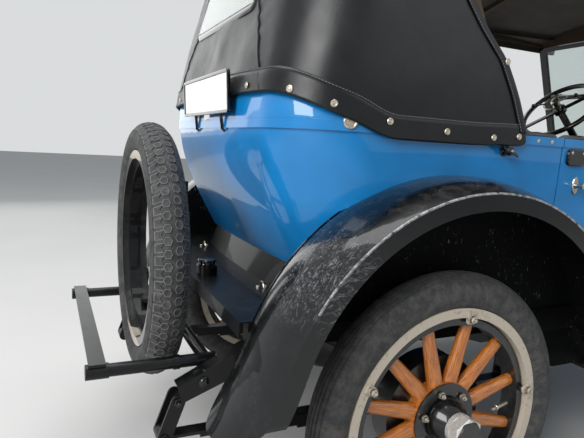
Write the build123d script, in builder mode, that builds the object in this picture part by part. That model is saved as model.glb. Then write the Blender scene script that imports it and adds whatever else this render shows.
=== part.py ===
from build123d import *
import math
import os

# Open touring car of the 1920s with five seats, a fabric top and wood-spoked wheels.
# Millimetres. +Z is up, the front faces -Y and +X is the car's left side.
# The origin is on the ground, midway along the length. Places along Y count from the rear axle.

# Overall layout
WHEELBASE = 2946
TRACK = 1416
FRONT_OVERHANG = 469
REAR_OVERHANG = 924
REAR_AXLE_Y = (WHEELBASE + FRONT_OVERHANG - REAR_OVERHANG) / 2
FRONT_AXLE_Y = REAR_AXLE_Y - WHEELBASE

# Wheels: 33 x 4 1/2 inch tyres on demountable rims
TYRE_RADIUS = 420
TYRE_WIDTH = 112
TREAD_WIDTH = 84
RIM_RADIUS = 326
RIM_DEPTH = 27
RIM_WIDTH = 88
RIM_GAUGE = 5
FELLOE_RADIUS = 293
FELLOE_DEPTH = 20
FELLOE_WIDTH = 58
SPOKE_COUNT = 12
SPOKE_PHASE = 15
SPOKE_ROOT = (50, 40)
SPOKE_TIP = (36, 31)
LUG_COUNT = 5
LUG_PHASE = 27
HUB_WOOD_RADIUS = 112
HUB_FLANGE_RADIUS = 102
HUB_FLANGE_THICKNESS = 6
HUB_BARREL_RADIUS = 34
HUB_CAP_RADIUS = 39
HUB_CAP_REACH = 127
DRUM_RADIUS = 165
DRUM_WIDTH = 48
DRUM_GAUGE = 6
SPINDLE_RADIUS = 16
RUNNING_CLEARANCE = 0.06
FACE_CLEARANCE = 0.3

# Frame: pressed channel side rails that come together towards the front
RAIL_REAR_X = 450
RAIL_FRONT_X = 362
RAIL_GAUGE = 6
RAIL_FLANGE = 50
CROSS_DEPTH = 60
CROSS_LOW = 500
CROSS_WIDTH = 70
CROSS_PLACES = [(y, CROSS_LOW) for y in (-2985, -2820, -2380, -1250, -620)] + [(285, 575)]
RAIL_TOP = [
    (690, 484),
    (507, 573),
    (330, 650),
    (-120, 655),
    (-340, 600),
    (-2700, 600),
    (-3050, 560),
    (-3360, 480),
]
RAIL_BOTTOM = [
    (-3360, 440),
    (-3050, 470),
    (-2700, 480),
    (-430, 480),
    (-180, 555),
    (300, 560),
    (470, 512),
    (589, 468),
    (680, 434),
]

# Springs and axles
SPRING_WIDTH = 44
LEAF_GAUGE = 9
LEAF_COUNT = 5
EYE_RADIUS = 20
EYE_PIN_RADIUS = 8
SHACKLE_GAUGE = 8
FRONT_SPRING = (-WHEELBASE + 25, 395, 465, 40)
REAR_SPRING = (75, 331, 647, 4)
AXLE_TUBE_RADIUS = 38
DIFFERENTIAL_RADIUS = 140
AXLE_BEAM_TOP = 350
AXLE_BEAM_BOTTOM = 292
AXLE_BEAM_DEPTH = 50
KINGPIN_X = 625
KINGPIN_RADIUS = 11
KINGPIN_BOSS_RADIUS = 23
KINGPIN_BOSS_HEIGHT = 76
KNUCKLE_EAR = 18
STEERING_ARM_LENGTH = 170
STEERING_ARM_Z = 352
TIE_ROD_RADIUS = 12
TIE_ROD_Z = 325
TIE_PIN_RADIUS = 9

# Body shell by level: height, half width at the cowl, half width at the doors, rear end
# and corner radius of the rear
BODY_LEVELS = [
    (600, 560, 625, 258, 265),
    (800, 575, 640, 358, 260),
    (1010, 590, 654, 464, 243),
    (1225, 600, 660, 507, 200),
]
BODY_WALL = 35
BODY_FRONT = -1880
BODY_WIDEST = -900
BODY_REAR_BULGE = 15
FLOOR_TOP = 660
REAR_PAN_TOP = 835
REAR_PAN_BOTTOM = 800
REAR_PAN_FRONT = -380
PAN_SILL_REAR = 40
BELT_HEIGHT = 1225
BELT_DEPTH = 26
BELT_RELIEF = 5

# Doors by name: front edge, rear edge
DOORS = [("front", -1700, -1120), ("rear", -1030, -430)]
DOOR_GAP = 5
DOOR_SILL = 672
HINGE_RADIUS = 8
HINGE_LENGTH = 40
HINGE_LEVELS = (800, 1130)
HINGE_OUT = 9

# Fenders and running boards
FENDER_OUTER_X = 830
FENDER_INNER_X = 620
TAIL_INNER_X = 585
TAIL_FLARE = 675
TAIL_BOTTOM = 477
WHEELHOUSE_BOTTOM = 612
WHEELHOUSE_FRONT = -505
FENDER_ARCH_RADIUS = 642
FENDER_DOOR_SPACE = 58
FRONT_FENDER_INNER_X = 600
FENDER_GAUGE = 3
FENDER_CROWN = 34
FENDER_SKIRT = 45
FENDER_IRON_RADIUS = 11
FENDER_IRON_REACH = 70
FENDER_IRONS = [(0.93, -3340, 458), (0.33, -2545, 560)]
BOARD_TOP = 440
BOARD_THICKNESS = 24
BOARD_INNER_X = 590
BOARD_FRONT = -2330
BOARD_REAR = -765
APRON_GAUGE = 3

# Cowl, hood and radiator by station: place, half width, shoulder height, top height
HOOD_FRONT = (-2925, 262, 1030, 1150)
HOOD_REAR = (-2290, 355, 1060, 1185)
COWL_REAR = (BODY_FRONT, 597, 1130, 1240)
HOOD_BOTTOM = 640
HOOD_GAUGE = 3
HOOD_ROD_RADIUS = 5
HOOD_SPLIT = HOOD_ROD_RADIUS + FACE_CLEARANCE
LOUVRE_COUNT = 14
LOUVRE_FIRST = -2858
LOUVRE_PITCH = 36
LOUVRE_LENGTH = 22
LOUVRE_OUT = 7
LOUVRE_BOTTOM = 745
LOUVRE_HEIGHT = 215
COWL_BOTTOM = RAIL_TOP[4][1]
COWL_WALL = 22
LID_GAP = 6
RADIATOR_FRONT = -3030
RADIATOR_BOTTOM = CROSS_LOW + CROSS_DEPTH
RADIATOR_RIM = 32
CORE_RECESS = 14
CORE_FINS = 34
CORE_FIN_PITCH = 13
CORE_FIN_GAUGE = 3
CORE_FIN_DEPTH = 8

# Windshield
WINDSHIELD_Y = -1905
WINDSHIELD_BASE = 1248
WINDSHIELD_LEAN = 18
WINDSHIELD_HALF_WIDTH = 575
WINDSHIELD_HEIGHT = 606
WINDSHIELD_BAR = 24
GLASS_THICKNESS = 6

# Top by level: height, half width, rear end, corner radius
BOW_PLACES = (-1722, -1110, -430, 230)
TOP_LEVELS = [
    (1186, 680, 545, 205),
    (1540, 657, 474, 190),
    (1900, 610, 386, 170),
    (2080, 590, 340, 160),
]
TOP_THICKNESS = 8
TOP_FRONT = -1850
# Roof by station: place, height at the shoulders, height along the middle
ROOF_STATIONS = [(-1862, 1858, 1930), (BOW_PLACES[1], 1885, 2006), (700, 1885, 2010)]
VALANCE_BOTTOM = 1800
BOW_SECTION = 24
BOW_BOTTOM = 1830
TOP_RAIL_DEPTH = 28
BOW_LEG_FOOT = (644, -222)
BOW_LEG_HEAD = (592, 40)
REAR_WINDOW = (608, 190)
REAR_WINDOW_Z = 1650

# Steering
STEER_X = 300
STEER_HUB_Y = -1590
STEER_HUB_Z = 1437
STEER_RAKE = 43.6
STEER_WHEEL_RADIUS = 215
STEER_RIM_RADIUS = 13
COLUMN_RADIUS = 19
COLUMN_LENGTH = 1150

# Seats by name: cushion front, cushion rear, cushion bottom, cushion top, back top, half width
SEATS = [
    ("front", -1420, -960, FLOOR_TOP, 985, 1270, 540),
    ("rear", -330, 130, REAR_PAN_TOP, 1000, 1290, 560),
]
SEAT_BACK_THICKNESS = 130
SEAT_BACK_LEAN = 14

# Lamps, spare wheel, rear apron and luggage rack
HEADLAMP_X = 385
HEADLAMP_Y = -3060
HEADLAMP_Z = 1010
HEADLAMP_RADIUS = 118
LAMP_BAR_Z = 858
SPARE_Y = 702
SPARE_Z = 786
SPARE_RING_WIDTH = 40
APRON_TOP = 716
APRON_FRONT = 60
APRON_REAR = 582
BAND_HALF = 600
BAND_FOOT = 386
BAND_HEAD = 354
BAND_CORNER = 258
RACK_X = 380
RACK_TUBE_RADIUS = 18
RACK_Z = 528
RACK_CROSS_Y = 597
RACK_END_Y = 912

SIDES = (("left", 1), ("right", -1))
AXLES = (("front", FRONT_AXLE_Y), ("rear", REAR_AXLE_Y))

os.makedirs("parts", exist_ok=True)


def save(piece, name):
    """Label a finished piece and write it."""
    piece.label = name
    export_step(piece, f"parts/{name}.step")


def cross_plane(y):
    """Upright plane across the car: local x runs with X, local y runs up, the normal points ahead."""
    return Plane(origin=(0, REAR_AXLE_Y + y, 0), x_dir=(1, 0, 0), z_dir=(0, -1, 0))


def side_plane(x):
    """Upright plane along the car: local x counts from the rear axle, local y runs up."""
    return Plane(origin=(x, REAR_AXLE_Y, 0), x_dir=(0, 1, 0), z_dir=(1, 0, 0))


def plan_plane(z):
    """Level plane: local x runs with X, local y counts from the rear axle."""
    return Plane(origin=(0, REAR_AXLE_Y, z), x_dir=(1, 0, 0), z_dir=(0, 0, 1))


def wheel_plane(sign, y, out=0.0):
    """Plane across a wheel's axis, with its normal pointing away from the car."""
    centre = (sign * (TRACK / 2 + out), y, TYRE_RADIUS)
    return Plane(origin=centre, x_dir=(0, sign, 0), z_dir=(sign, 0, 0))


def rounded_plan(level, front_half, front, inset=0.0):
    """Closed plan line with a bowed rear: height, half width, rear end, corner radius."""
    _, half, rear, corner = level
    front_half, half = front_half - inset, half - inset
    rear, corner = rear - inset - BODY_REAR_BULGE, corner - inset
    with BuildLine() as line:
        Polyline((-half, BODY_WIDEST), (-front_half, front), (front_half, front), (half, BODY_WIDEST))
        Line((half, BODY_WIDEST), (half, rear - corner))
        ThreePointArc(
            (half, rear - corner),
            (half - corner * (1 - math.sqrt(0.5)), rear - corner * (1 - math.sqrt(0.5))),
            (half - corner, rear),
        )
        ThreePointArc((half - corner, rear), (0, rear + BODY_REAR_BULGE), (corner - half, rear))
        ThreePointArc(
            (corner - half, rear),
            (corner * (1 - math.sqrt(0.5)) - half, rear - corner * (1 - math.sqrt(0.5))),
            (-half, rear - corner),
        )
        Line((-half, rear - corner), (-half, BODY_WIDEST))
    return line.line


def body_form(inset=0.0, front=BODY_FRONT):
    """Solid between the plan lines of the body's levels."""
    with BuildPart() as form:
        for height, cowl_half, half, rear, corner in BODY_LEVELS:
            with BuildSketch(plan_plane(height)):
                add(rounded_plan((height, half, rear, corner), cowl_half, front, inset))
                make_face()
        loft()
    return form.part


def belt_form():
    """Raised moulding that runs round the body just under its upper edge."""
    height, cowl_half, half, rear, corner = BODY_LEVELS[-1]
    with BuildPart() as form:
        with BuildSketch(plan_plane(BELT_HEIGHT - BELT_DEPTH)):
            add(rounded_plan((height, half, rear, corner), cowl_half, BODY_FRONT, -BELT_RELIEF))
            make_face()
        extrude(amount=BELT_DEPTH)
    return form.part


def roof_form(inset=0.0):
    """Solid under the crowned roof, which falls from the second bow to the front."""
    with BuildPart() as form:
        for y, shoulder, crown in ROOF_STATIONS:
            with BuildSketch(cross_plane(y)):
                with BuildLine():
                    Polyline((-600, shoulder - inset), (-800, shoulder - inset), (-800, 1100), (800, 1100))
                    Polyline((800, 1100), (800, shoulder - inset), (600, shoulder - inset))
                    ThreePointArc((600, shoulder - inset), (0, crown - inset), (-600, shoulder - inset))
                make_face()
        loft(ruled=True)
    return form.part


def top_form(inset=0.0):
    """Solid between the plan lines of the top, closed above by the crowned roof."""
    with BuildPart() as form:
        for height, half, rear, corner in TOP_LEVELS:
            with BuildSketch(plan_plane(height)):
                add(rounded_plan((height, half, rear, corner), half - 20, TOP_FRONT, inset))
                make_face()
        loft()
        add(roof_form(inset), mode=Mode.INTERSECT)
    return form.part


def arch_form(stations, bottom, inset=0.0, overrun=0.0):
    """Solid between arched lines across the car, one for each station."""
    ahead, behind = stations
    share = overrun / (behind[0] - ahead[0])
    with BuildPart() as form:
        for here, other in ((ahead, behind), (behind, ahead)):
            y, half, shoulder, top = [a + (a - b) * share for a, b in zip(here, other)]
            half, top = half - inset, top - inset
            rise = top - shoulder
            with BuildSketch(cross_plane(y)):
                with BuildLine():
                    Polyline((-half, shoulder), (-half, bottom), (half, bottom), (half, shoulder))
                    ThreePointArc((half, shoulder), (half * 0.7, shoulder + rise * 0.68), (0, top))
                    ThreePointArc((0, top), (-half * 0.7, shoulder + rise * 0.68), (-half, shoulder))
                make_face()
        loft(ruled=True)
    return form.part


# Frame. Each side rail is a channel with its web outside, kicked up over the rear axle.
RAIL_LENGTH = RAIL_TOP[0][0] - RAIL_TOP[-1][0]
RAIL_POCKET = [(y, z - RAIL_GAUGE) for y, z in RAIL_TOP] + [(y, z + RAIL_GAUGE) for y, z in RAIL_BOTTOM]
RAIL_SPLAY = math.degrees(math.atan2(RAIL_REAR_X - RAIL_FRONT_X, RAIL_LENGTH))


def rail_x(y):
    """Outer face of the side rail at a place along the car."""
    return RAIL_REAR_X - (RAIL_TOP[0][0] - y) * (RAIL_REAR_X - RAIL_FRONT_X) / RAIL_LENGTH


def rail_top(y):
    """Height of the side rail's upper face at a place along the car."""
    for (y_1, z_1), (y_2, z_2) in zip(RAIL_TOP, RAIL_TOP[1:]):
        if y_2 <= y <= y_1:
            return z_1 + (z_2 - z_1) * (y_1 - y) / (y_1 - y_2)
    return RAIL_TOP[-1][1]


def rail_plane(sign, inward=0.0):
    """Plane in a rail's web, with its normal pointing inboard."""
    direction = Vector(0, 1, 0).rotate(Axis.Z, -sign * RAIL_SPLAY)
    inboard = Vector(-sign, 0, 0).rotate(Axis.Z, -sign * RAIL_SPLAY)
    origin = Vector(sign * rail_x(0), REAR_AXLE_Y, 0) + inboard * inward
    return Plane(origin=origin, x_dir=direction, z_dir=inboard)


def spring_x(spring):
    """Middle of a spring across the car: it lies under its rail."""
    return rail_x(spring[0]) - RAIL_FLANGE / 2


def spring_eyes(spring):
    """Front and rear eye of a spring as places along and above."""
    y, z, half_length, sag = spring
    return ((y - half_length, z + sag), (y + half_length, z + sag))


FRONT_HANGER = spring_eyes(FRONT_SPRING)[0]
REAR_SHACKLE = spring_eyes(REAR_SPRING)[1]
HANGERS = [
    (FRONT_SPRING, FRONT_HANGER, (FRONT_HANGER[0] + 60, 442)),
    (FRONT_SPRING, spring_eyes(FRONT_SPRING)[1], (spring_eyes(FRONT_SPRING)[1][0] + 10, 520)),
    (REAR_SPRING, spring_eyes(REAR_SPRING)[0], (spring_eyes(REAR_SPRING)[0][0] - 10, 500)),
    (REAR_SPRING, REAR_SHACKLE, (REAR_SHACKLE[0] - 36, 436)),
]

with BuildPart() as frame:
    for _, sign in SIDES:
        with BuildSketch(rail_plane(sign)):
            with BuildLine():
                Polyline(*[(y, -sign * z) for y, z in RAIL_TOP + RAIL_BOTTOM], close=True)
            make_face()
        extrude(amount=RAIL_FLANGE)
        with BuildSketch(rail_plane(sign, RAIL_GAUGE)):
            with BuildLine():
                Polyline(*[(y, -sign * z) for y, z in RAIL_POCKET], close=True)
            make_face()
        extrude(amount=RAIL_FLANGE, mode=Mode.SUBTRACT)
        for spring, eye, root in HANGERS:
            for face in (-1, 1):
                inner = SPRING_WIDTH / 2 + FACE_CLEARANCE
                low = sign * spring_x(spring) + face * inner
                with BuildSketch(side_plane(min(low, low + face * SHACKLE_GAUGE))):
                    with Locations(((eye[0] + root[0]) / 2, (eye[1] + root[1]) / 2)):
                        SlotCenterToCenter(
                            math.dist(eye, root),
                            2 * EYE_RADIUS,
                            rotation=math.degrees(math.atan2(root[1] - eye[1], root[0] - eye[0])),
                        )
                extrude(amount=SHACKLE_GAUGE)
            with Locations((sign * spring_x(spring), REAR_AXLE_Y + eye[0], eye[1])):
                Cylinder(EYE_PIN_RADIUS, SPRING_WIDTH + 2 * SHACKLE_GAUGE + 4, rotation=(0, 90, 0))
    for y, z in CROSS_PLACES:
        ends = [(rail_x(end) - RAIL_GAUGE - FACE_CLEARANCE, end) for end in (y - CROSS_WIDTH / 2, y + CROSS_WIDTH / 2)]
        with BuildSketch(plan_plane(z)):
            with BuildLine():
                Polyline(*ends, *[(-half, end) for half, end in reversed(ends)], close=True)
            make_face()
        extrude(amount=CROSS_DEPTH)
save(frame.part, "frame")


# Leaf springs: the leaves lie one under the other, the longest has an eye at each end.
def leaf_spring(spring, sign):
    """One semi-elliptic spring under its rail."""
    y, z, half_length, sag = spring
    radius = (half_length**2 + sag**2) / (2 * sag)
    with BuildPart() as leaves:
        with BuildSketch(side_plane(sign * spring_x(spring) - SPRING_WIDTH / 2)):
            for place in range(LEAF_COUNT):
                reach = half_length * (1 - 0.8 * place / LEAF_COUNT)
                low = radius + place * LEAF_GAUGE
                turn = math.degrees(math.asin(reach / (low + LEAF_GAUGE)))
                with BuildLine():
                    inner = CenterArc((y, z + radius), low, 270 - turn, 2 * turn)
                    outer = CenterArc((y, z + radius), low + LEAF_GAUGE, 270 - turn, 2 * turn)
                    Line(inner @ 0, outer @ 0)
                    Line(inner @ 1, outer @ 1)
                make_face()
            for eye in spring_eyes(spring):
                with Locations(eye):
                    Circle(EYE_RADIUS)
                    Circle(EYE_PIN_RADIUS + FACE_CLEARANCE, mode=Mode.SUBTRACT)
        extrude(amount=SPRING_WIDTH)
    return leaves.part


with BuildPart() as springs:
    for _, sign in SIDES:
        add(leaf_spring(FRONT_SPRING, sign))
        add(leaf_spring(REAR_SPRING, sign))
save(springs.part, "springs")

# Rear axle: tube with a bulged middle, a backing plate and a spindle at each end
SPINDLE_END = TRACK / 2 + 84
BACKING_X = TRACK / 2 - 46 - DRUM_WIDTH - 8
with BuildPart() as rear_axle:
    with BuildSketch(Plane(origin=(0, REAR_AXLE_Y, TYRE_RADIUS), x_dir=(1, 0, 0), z_dir=(0, -1, 0))):
        with BuildLine():
            Polyline((-260, AXLE_TUBE_RADIUS), (-BACKING_X, AXLE_TUBE_RADIUS), (-BACKING_X, 0), (BACKING_X, 0))
            Polyline((BACKING_X, 0), (BACKING_X, AXLE_TUBE_RADIUS), (260, AXLE_TUBE_RADIUS))
            ThreePointArc((260, AXLE_TUBE_RADIUS), (150, 74), (95, 116))
            ThreePointArc((95, 116), (0, DIFFERENTIAL_RADIUS), (-95, 116))
            ThreePointArc((-95, 116), (-150, 74), (-260, AXLE_TUBE_RADIUS))
        make_face()
    revolve(axis=Axis((0, REAR_AXLE_Y, TYRE_RADIUS), (1, 0, 0)))
    for _, sign in SIDES:
        with Locations((sign * (BACKING_X + 3), REAR_AXLE_Y, TYRE_RADIUS)):
            Cylinder(DRUM_RADIUS - DRUM_GAUGE - 4, 6, rotation=(0, 90, 0))
        with Locations((sign * (BACKING_X + SPINDLE_END) / 2, REAR_AXLE_Y, TYRE_RADIUS)):
            Cylinder(SPINDLE_RADIUS, SPINDLE_END - BACKING_X, rotation=(0, 90, 0))
        seat_top = TYRE_RADIUS - AXLE_TUBE_RADIUS / 2
        seat_bottom = REAR_SPRING[1] + 3 * FACE_CLEARANCE
        with Locations((sign * spring_x(REAR_SPRING), REAR_AXLE_Y, (seat_top + seat_bottom) / 2)):
            Box(SPRING_WIDTH, 90, seat_top - seat_bottom)
    with Locations((0, REAR_AXLE_Y - 520, TYRE_RADIUS + 20)):
        Cylinder(32, 900, rotation=(88, 0, 0))
save(rear_axle.part, "rear_axle")

# Front axle: dropped I-beam with an upright boss at each end for the kingpin
BOSS_BOTTOM = TYRE_RADIUS - KINGPIN_BOSS_HEIGHT / 2
BOSS_TOP = TYRE_RADIUS + KINGPIN_BOSS_HEIGHT / 2
BEAM = [(0, AXLE_BEAM_BOTTOM), (430, AXLE_BEAM_BOTTOM), (588, BOSS_BOTTOM)]
BEAM += [(KINGPIN_X, BOSS_BOTTOM), (KINGPIN_X, BOSS_TOP), (590, BOSS_TOP)]
BEAM_RETURN = [(410, AXLE_BEAM_TOP), (0, AXLE_BEAM_TOP)]
with BuildPart() as front_axle:
    with BuildSketch(cross_plane(-WHEELBASE - AXLE_BEAM_DEPTH / 2)):
        with BuildLine():
            Polyline(*(BEAM + BEAM_RETURN), close=True)
        make_face()
        mirror(about=Plane.YZ)
    extrude(amount=-AXLE_BEAM_DEPTH)
    for face in (-1, 1):
        with BuildSketch(cross_plane(-WHEELBASE + face * AXLE_BEAM_DEPTH / 2)):
            with BuildLine():
                Polyline((0, 304), (426, 304), (566, 388), (566, 430), (412, 338), (0, 338), close=True)
            make_face()
            mirror(about=Plane.YZ)
        extrude(amount=face * (AXLE_BEAM_DEPTH / 2 - 6), mode=Mode.SUBTRACT)
    for _, sign in SIDES:
        with Locations((sign * KINGPIN_X, FRONT_AXLE_Y, TYRE_RADIUS)):
            Cylinder(KINGPIN_BOSS_RADIUS, KINGPIN_BOSS_HEIGHT)
            Cylinder(KINGPIN_RADIUS + RUNNING_CLEARANCE, 2 * KINGPIN_BOSS_HEIGHT, mode=Mode.SUBTRACT)
        seat_top = FRONT_SPRING[1] - LEAF_COUNT * LEAF_GAUGE - FACE_CLEARANCE
        with Locations((sign * spring_x(FRONT_SPRING), FRONT_AXLE_Y, (AXLE_BEAM_BOTTOM + seat_top) / 2)):
            Box(SPRING_WIDTH + 16, 70, seat_top - AXLE_BEAM_BOTTOM)
save(front_axle.part, "front_axle")

# Steering knuckles: two ears on a web, the kingpin, the wheel's spindle and the steering arm
EAR_GAP = 1.0
WEB_X = KINGPIN_X + KINGPIN_BOSS_RADIUS + 7
for side, sign in SIDES:
    with BuildPart() as knuckle:
        for face in (-1, 1):
            ear_z = TYRE_RADIUS + face * (KINGPIN_BOSS_HEIGHT / 2 + EAR_GAP + KNUCKLE_EAR / 2)
            with Locations((sign * KINGPIN_X, FRONT_AXLE_Y, ear_z)):
                Cylinder(KINGPIN_BOSS_RADIUS, KNUCKLE_EAR)
            with Locations((sign * (KINGPIN_X + WEB_X) / 2, FRONT_AXLE_Y, ear_z)):
                Box(WEB_X - KINGPIN_X, 2 * KINGPIN_BOSS_RADIUS, KNUCKLE_EAR)
        with Locations((sign * (WEB_X + 6), FRONT_AXLE_Y, TYRE_RADIUS)):
            Box(12, 2 * KINGPIN_BOSS_RADIUS, KINGPIN_BOSS_HEIGHT + 2 * (EAR_GAP + KNUCKLE_EAR))
        with Locations((sign * KINGPIN_X, FRONT_AXLE_Y, TYRE_RADIUS)):
            Cylinder(KINGPIN_RADIUS, KINGPIN_BOSS_HEIGHT + 2 * (EAR_GAP + KNUCKLE_EAR))
        with Locations((sign * (WEB_X + SPINDLE_END) / 2, FRONT_AXLE_Y, TYRE_RADIUS)):
            Cylinder(SPINDLE_RADIUS, SPINDLE_END - WEB_X, rotation=(0, 90, 0))
        with Locations((sign * KINGPIN_X, FRONT_AXLE_Y + STEERING_ARM_LENGTH / 2, STEERING_ARM_Z)):
            Box(26, STEERING_ARM_LENGTH + 24, 14)
        with Locations((sign * KINGPIN_X, FRONT_AXLE_Y, BOSS_BOTTOM - EAR_GAP)):
            Cylinder(
                KINGPIN_BOSS_RADIUS,
                BOSS_BOTTOM - EAR_GAP - STEERING_ARM_Z + 7,
                align=(Align.CENTER, Align.CENTER, Align.MAX),
            )
        with Locations((sign * KINGPIN_X, FRONT_AXLE_Y + STEERING_ARM_LENGTH, (STEERING_ARM_Z + TIE_ROD_Z) / 2 - 10)):
            Cylinder(TIE_PIN_RADIUS, STEERING_ARM_Z - TIE_ROD_Z + 20)
    save(knuckle.part, f"knuckle_{side}")

# Tie rod between the steering arms, with an eye at each end
with BuildPart() as tie_rod:
    with Locations((0, FRONT_AXLE_Y + STEERING_ARM_LENGTH, TIE_ROD_Z)):
        Cylinder(TIE_ROD_RADIUS, 2 * KINGPIN_X - 30, rotation=(0, 90, 0))
    for _, sign in SIDES:
        with Locations((sign * KINGPIN_X, FRONT_AXLE_Y + STEERING_ARM_LENGTH, TIE_ROD_Z)):
            Cylinder(19, 26)
            Cylinder(TIE_PIN_RADIUS + FACE_CLEARANCE, 40, mode=Mode.SUBTRACT)
save(tie_rod.part, "tie_rod")

# Wheels. Each has a wood centre, a metal hub with felloe and rim, and a tyre.
FLANGE_OUT = SPOKE_ROOT[1] / 2
INNER_RIM_RADIUS = RIM_RADIUS - RIM_DEPTH
SPOKE_END = math.sqrt((FELLOE_RADIUS - FELLOE_DEPTH) ** 2 - (SPOKE_TIP[0] / 2) ** 2) - FACE_CLEARANCE


def spoke_plane(sign, y, angle, reach):
    """Plane across a spoke at a distance from the axle."""
    ahead = Vector(0, math.cos(math.radians(angle)), math.sin(math.radians(angle)))
    centre = Vector(sign * TRACK / 2, y, TYRE_RADIUS) + ahead * reach
    return Plane(origin=centre, x_dir=(1, 0, 0), z_dir=ahead)


def tyre_section():
    """Half section of a tyre: local x is the distance from the wheel plane, local y from the axle."""
    shoulder = TYRE_RADIUS - 9
    bead = RIM_RADIUS - 11
    with BuildLine() as line:
        Line((-RIM_WIDTH / 2 + 8, bead), (RIM_WIDTH / 2 - 8, bead))
        ThreePointArc((RIM_WIDTH / 2 - 8, bead), (TYRE_WIDTH / 2, TYRE_RADIUS - 58), (TREAD_WIDTH / 2, shoulder))
        ThreePointArc((TREAD_WIDTH / 2, shoulder), (0, TYRE_RADIUS), (-TREAD_WIDTH / 2, shoulder))
        ThreePointArc((-TREAD_WIDTH / 2, shoulder), (-TYRE_WIDTH / 2, TYRE_RADIUS - 58), (8 - RIM_WIDTH / 2, bead))
    return line.line


def rim_section():
    """Half section of a rim: a shallow channel with turned-up edges."""
    half = RIM_WIDTH / 2
    floor = RIM_RADIUS - RIM_DEPTH
    with BuildLine() as line:
        Polyline(
            (-half, floor),
            (half, floor),
            (half, RIM_RADIUS),
            (half - 7, RIM_RADIUS),
            (half - 7 - 2, floor + RIM_GAUGE + 10),
            (half - 20, floor + RIM_GAUGE),
            (20 - half, floor + RIM_GAUGE),
            (9 - half, floor + RIM_GAUGE + 10),
            (7 - half, RIM_RADIUS),
            (-half, RIM_RADIUS),
            close=True,
        )
    return line.line


def ring_about(section, plane, axis):
    """Solid of revolution of a section drawn on a plane."""
    with BuildPart() as ring:
        with BuildSketch(plane):
            add(section)
            make_face()
        revolve(axis=axis)
    return ring.part


def wheel_section_plane(sign, y):
    """Plane through a wheel's axis: local x points away from the car, local y up."""
    return Plane(origin=(sign * TRACK / 2, y, TYRE_RADIUS), x_dir=(sign, 0, 0), z_dir=(0, -sign, 0))


def hub_section(drum):
    """Half section of a hub from its inner end to the cap, around the spindle's bore."""
    bore = SPINDLE_RADIUS + RUNNING_CLEARANCE
    inner_end = -36
    cap_root = 60
    points = [(inner_end, bore), (SPINDLE_END - TRACK / 2 + 2, bore), (SPINDLE_END - TRACK / 2 + 2, 0)]
    points += [(HUB_CAP_REACH, 0), (HUB_CAP_REACH, HUB_CAP_RADIUS - 4), (HUB_CAP_REACH - 5, HUB_CAP_RADIUS)]
    points += [(cap_root, HUB_CAP_RADIUS), (FLANGE_OUT + HUB_FLANGE_THICKNESS + 8, 46)]
    points += [(FLANGE_OUT + HUB_FLANGE_THICKNESS, 62), (FLANGE_OUT + HUB_FLANGE_THICKNESS, HUB_FLANGE_RADIUS)]
    points += [(FLANGE_OUT, HUB_FLANGE_RADIUS), (FLANGE_OUT, HUB_BARREL_RADIUS), (-FLANGE_OUT, HUB_BARREL_RADIUS)]
    if drum:
        lip = -46 - DRUM_WIDTH
        points += [(-FLANGE_OUT, DRUM_RADIUS), (lip, DRUM_RADIUS), (lip, DRUM_RADIUS - DRUM_GAUGE)]
        points += [(-FLANGE_OUT - DRUM_GAUGE, DRUM_RADIUS - DRUM_GAUGE), (-FLANGE_OUT - DRUM_GAUGE, 40)]
    else:
        points += [(-FLANGE_OUT, HUB_FLANGE_RADIUS), (-FLANGE_OUT - HUB_FLANGE_THICKNESS, HUB_FLANGE_RADIUS)]
        points += [(-FLANGE_OUT - HUB_FLANGE_THICKNESS, 40)]
    points += [(inner_end, 40)]
    with BuildLine() as line:
        Polyline(*points, close=True)
    return line.line


def felloe_section():
    """Half section of the steel felloe that the spokes stand in."""
    half = FELLOE_WIDTH / 2
    with BuildLine() as line:
        Polyline(
            (-half, FELLOE_RADIUS - FELLOE_DEPTH),
            (half, FELLOE_RADIUS - FELLOE_DEPTH),
            (half, FELLOE_RADIUS),
            (10 - half, FELLOE_RADIUS),
            (10 - half, INNER_RIM_RADIUS),
            (-half, INNER_RIM_RADIUS),
            close=True,
        )
    return line.line


for axle_name, axle_y in AXLES:
    for side, sign in SIDES:
        corner = f"{axle_name}_{side}"
        axis = Axis((0, axle_y, TYRE_RADIUS), (1, 0, 0))
        section_plane = wheel_section_plane(sign, axle_y)

        with BuildPart() as wheel_wood:
            with BuildSketch(wheel_plane(sign, axle_y, -SPOKE_ROOT[1] / 2)):
                Circle(HUB_WOOD_RADIUS - 8)
                Circle(HUB_BARREL_RADIUS, mode=Mode.SUBTRACT)
            extrude(amount=SPOKE_ROOT[1])
            for place in range(SPOKE_COUNT):
                angle = SPOKE_PHASE + place * 360 / SPOKE_COUNT
                for reach, size in ((HUB_WOOD_RADIUS - 20, SPOKE_ROOT), (SPOKE_END, SPOKE_TIP)):
                    with BuildSketch(spoke_plane(sign, axle_y, angle, reach)):
                        Ellipse(size[1] / 2, size[0] / 2)
                loft()
        save(wheel_wood.part, f"wheel_wood_{corner}")

        with BuildPart() as wheel_metal:
            add(ring_about(hub_section(axle_name == "rear"), section_plane, axis))
            add(ring_about(felloe_section(), section_plane, axis))
            add(ring_about(rim_section(), section_plane, axis))
            for place in range(LUG_COUNT):
                angle = math.radians(LUG_PHASE + place * 360 / LUG_COUNT)
                lug_reach = (FELLOE_RADIUS + INNER_RIM_RADIUS) / 2
                lug_y = axle_y + lug_reach * math.cos(angle)
                lug_z = TYRE_RADIUS + lug_reach * math.sin(angle)
                with Locations((sign * (TRACK / 2 + FELLOE_WIDTH / 2), lug_y, lug_z)):
                    Cylinder(11, 22, rotation=(0, 90, 0))
        save(wheel_metal.part, f"wheel_metal_{corner}")

        with BuildPart() as tyre:
            add(ring_about(tyre_section(), section_plane, axis))
            add(ring_about(rim_section(), section_plane, axis), mode=Mode.SUBTRACT)
        save(tyre.part, f"tyre_{corner}")

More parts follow.
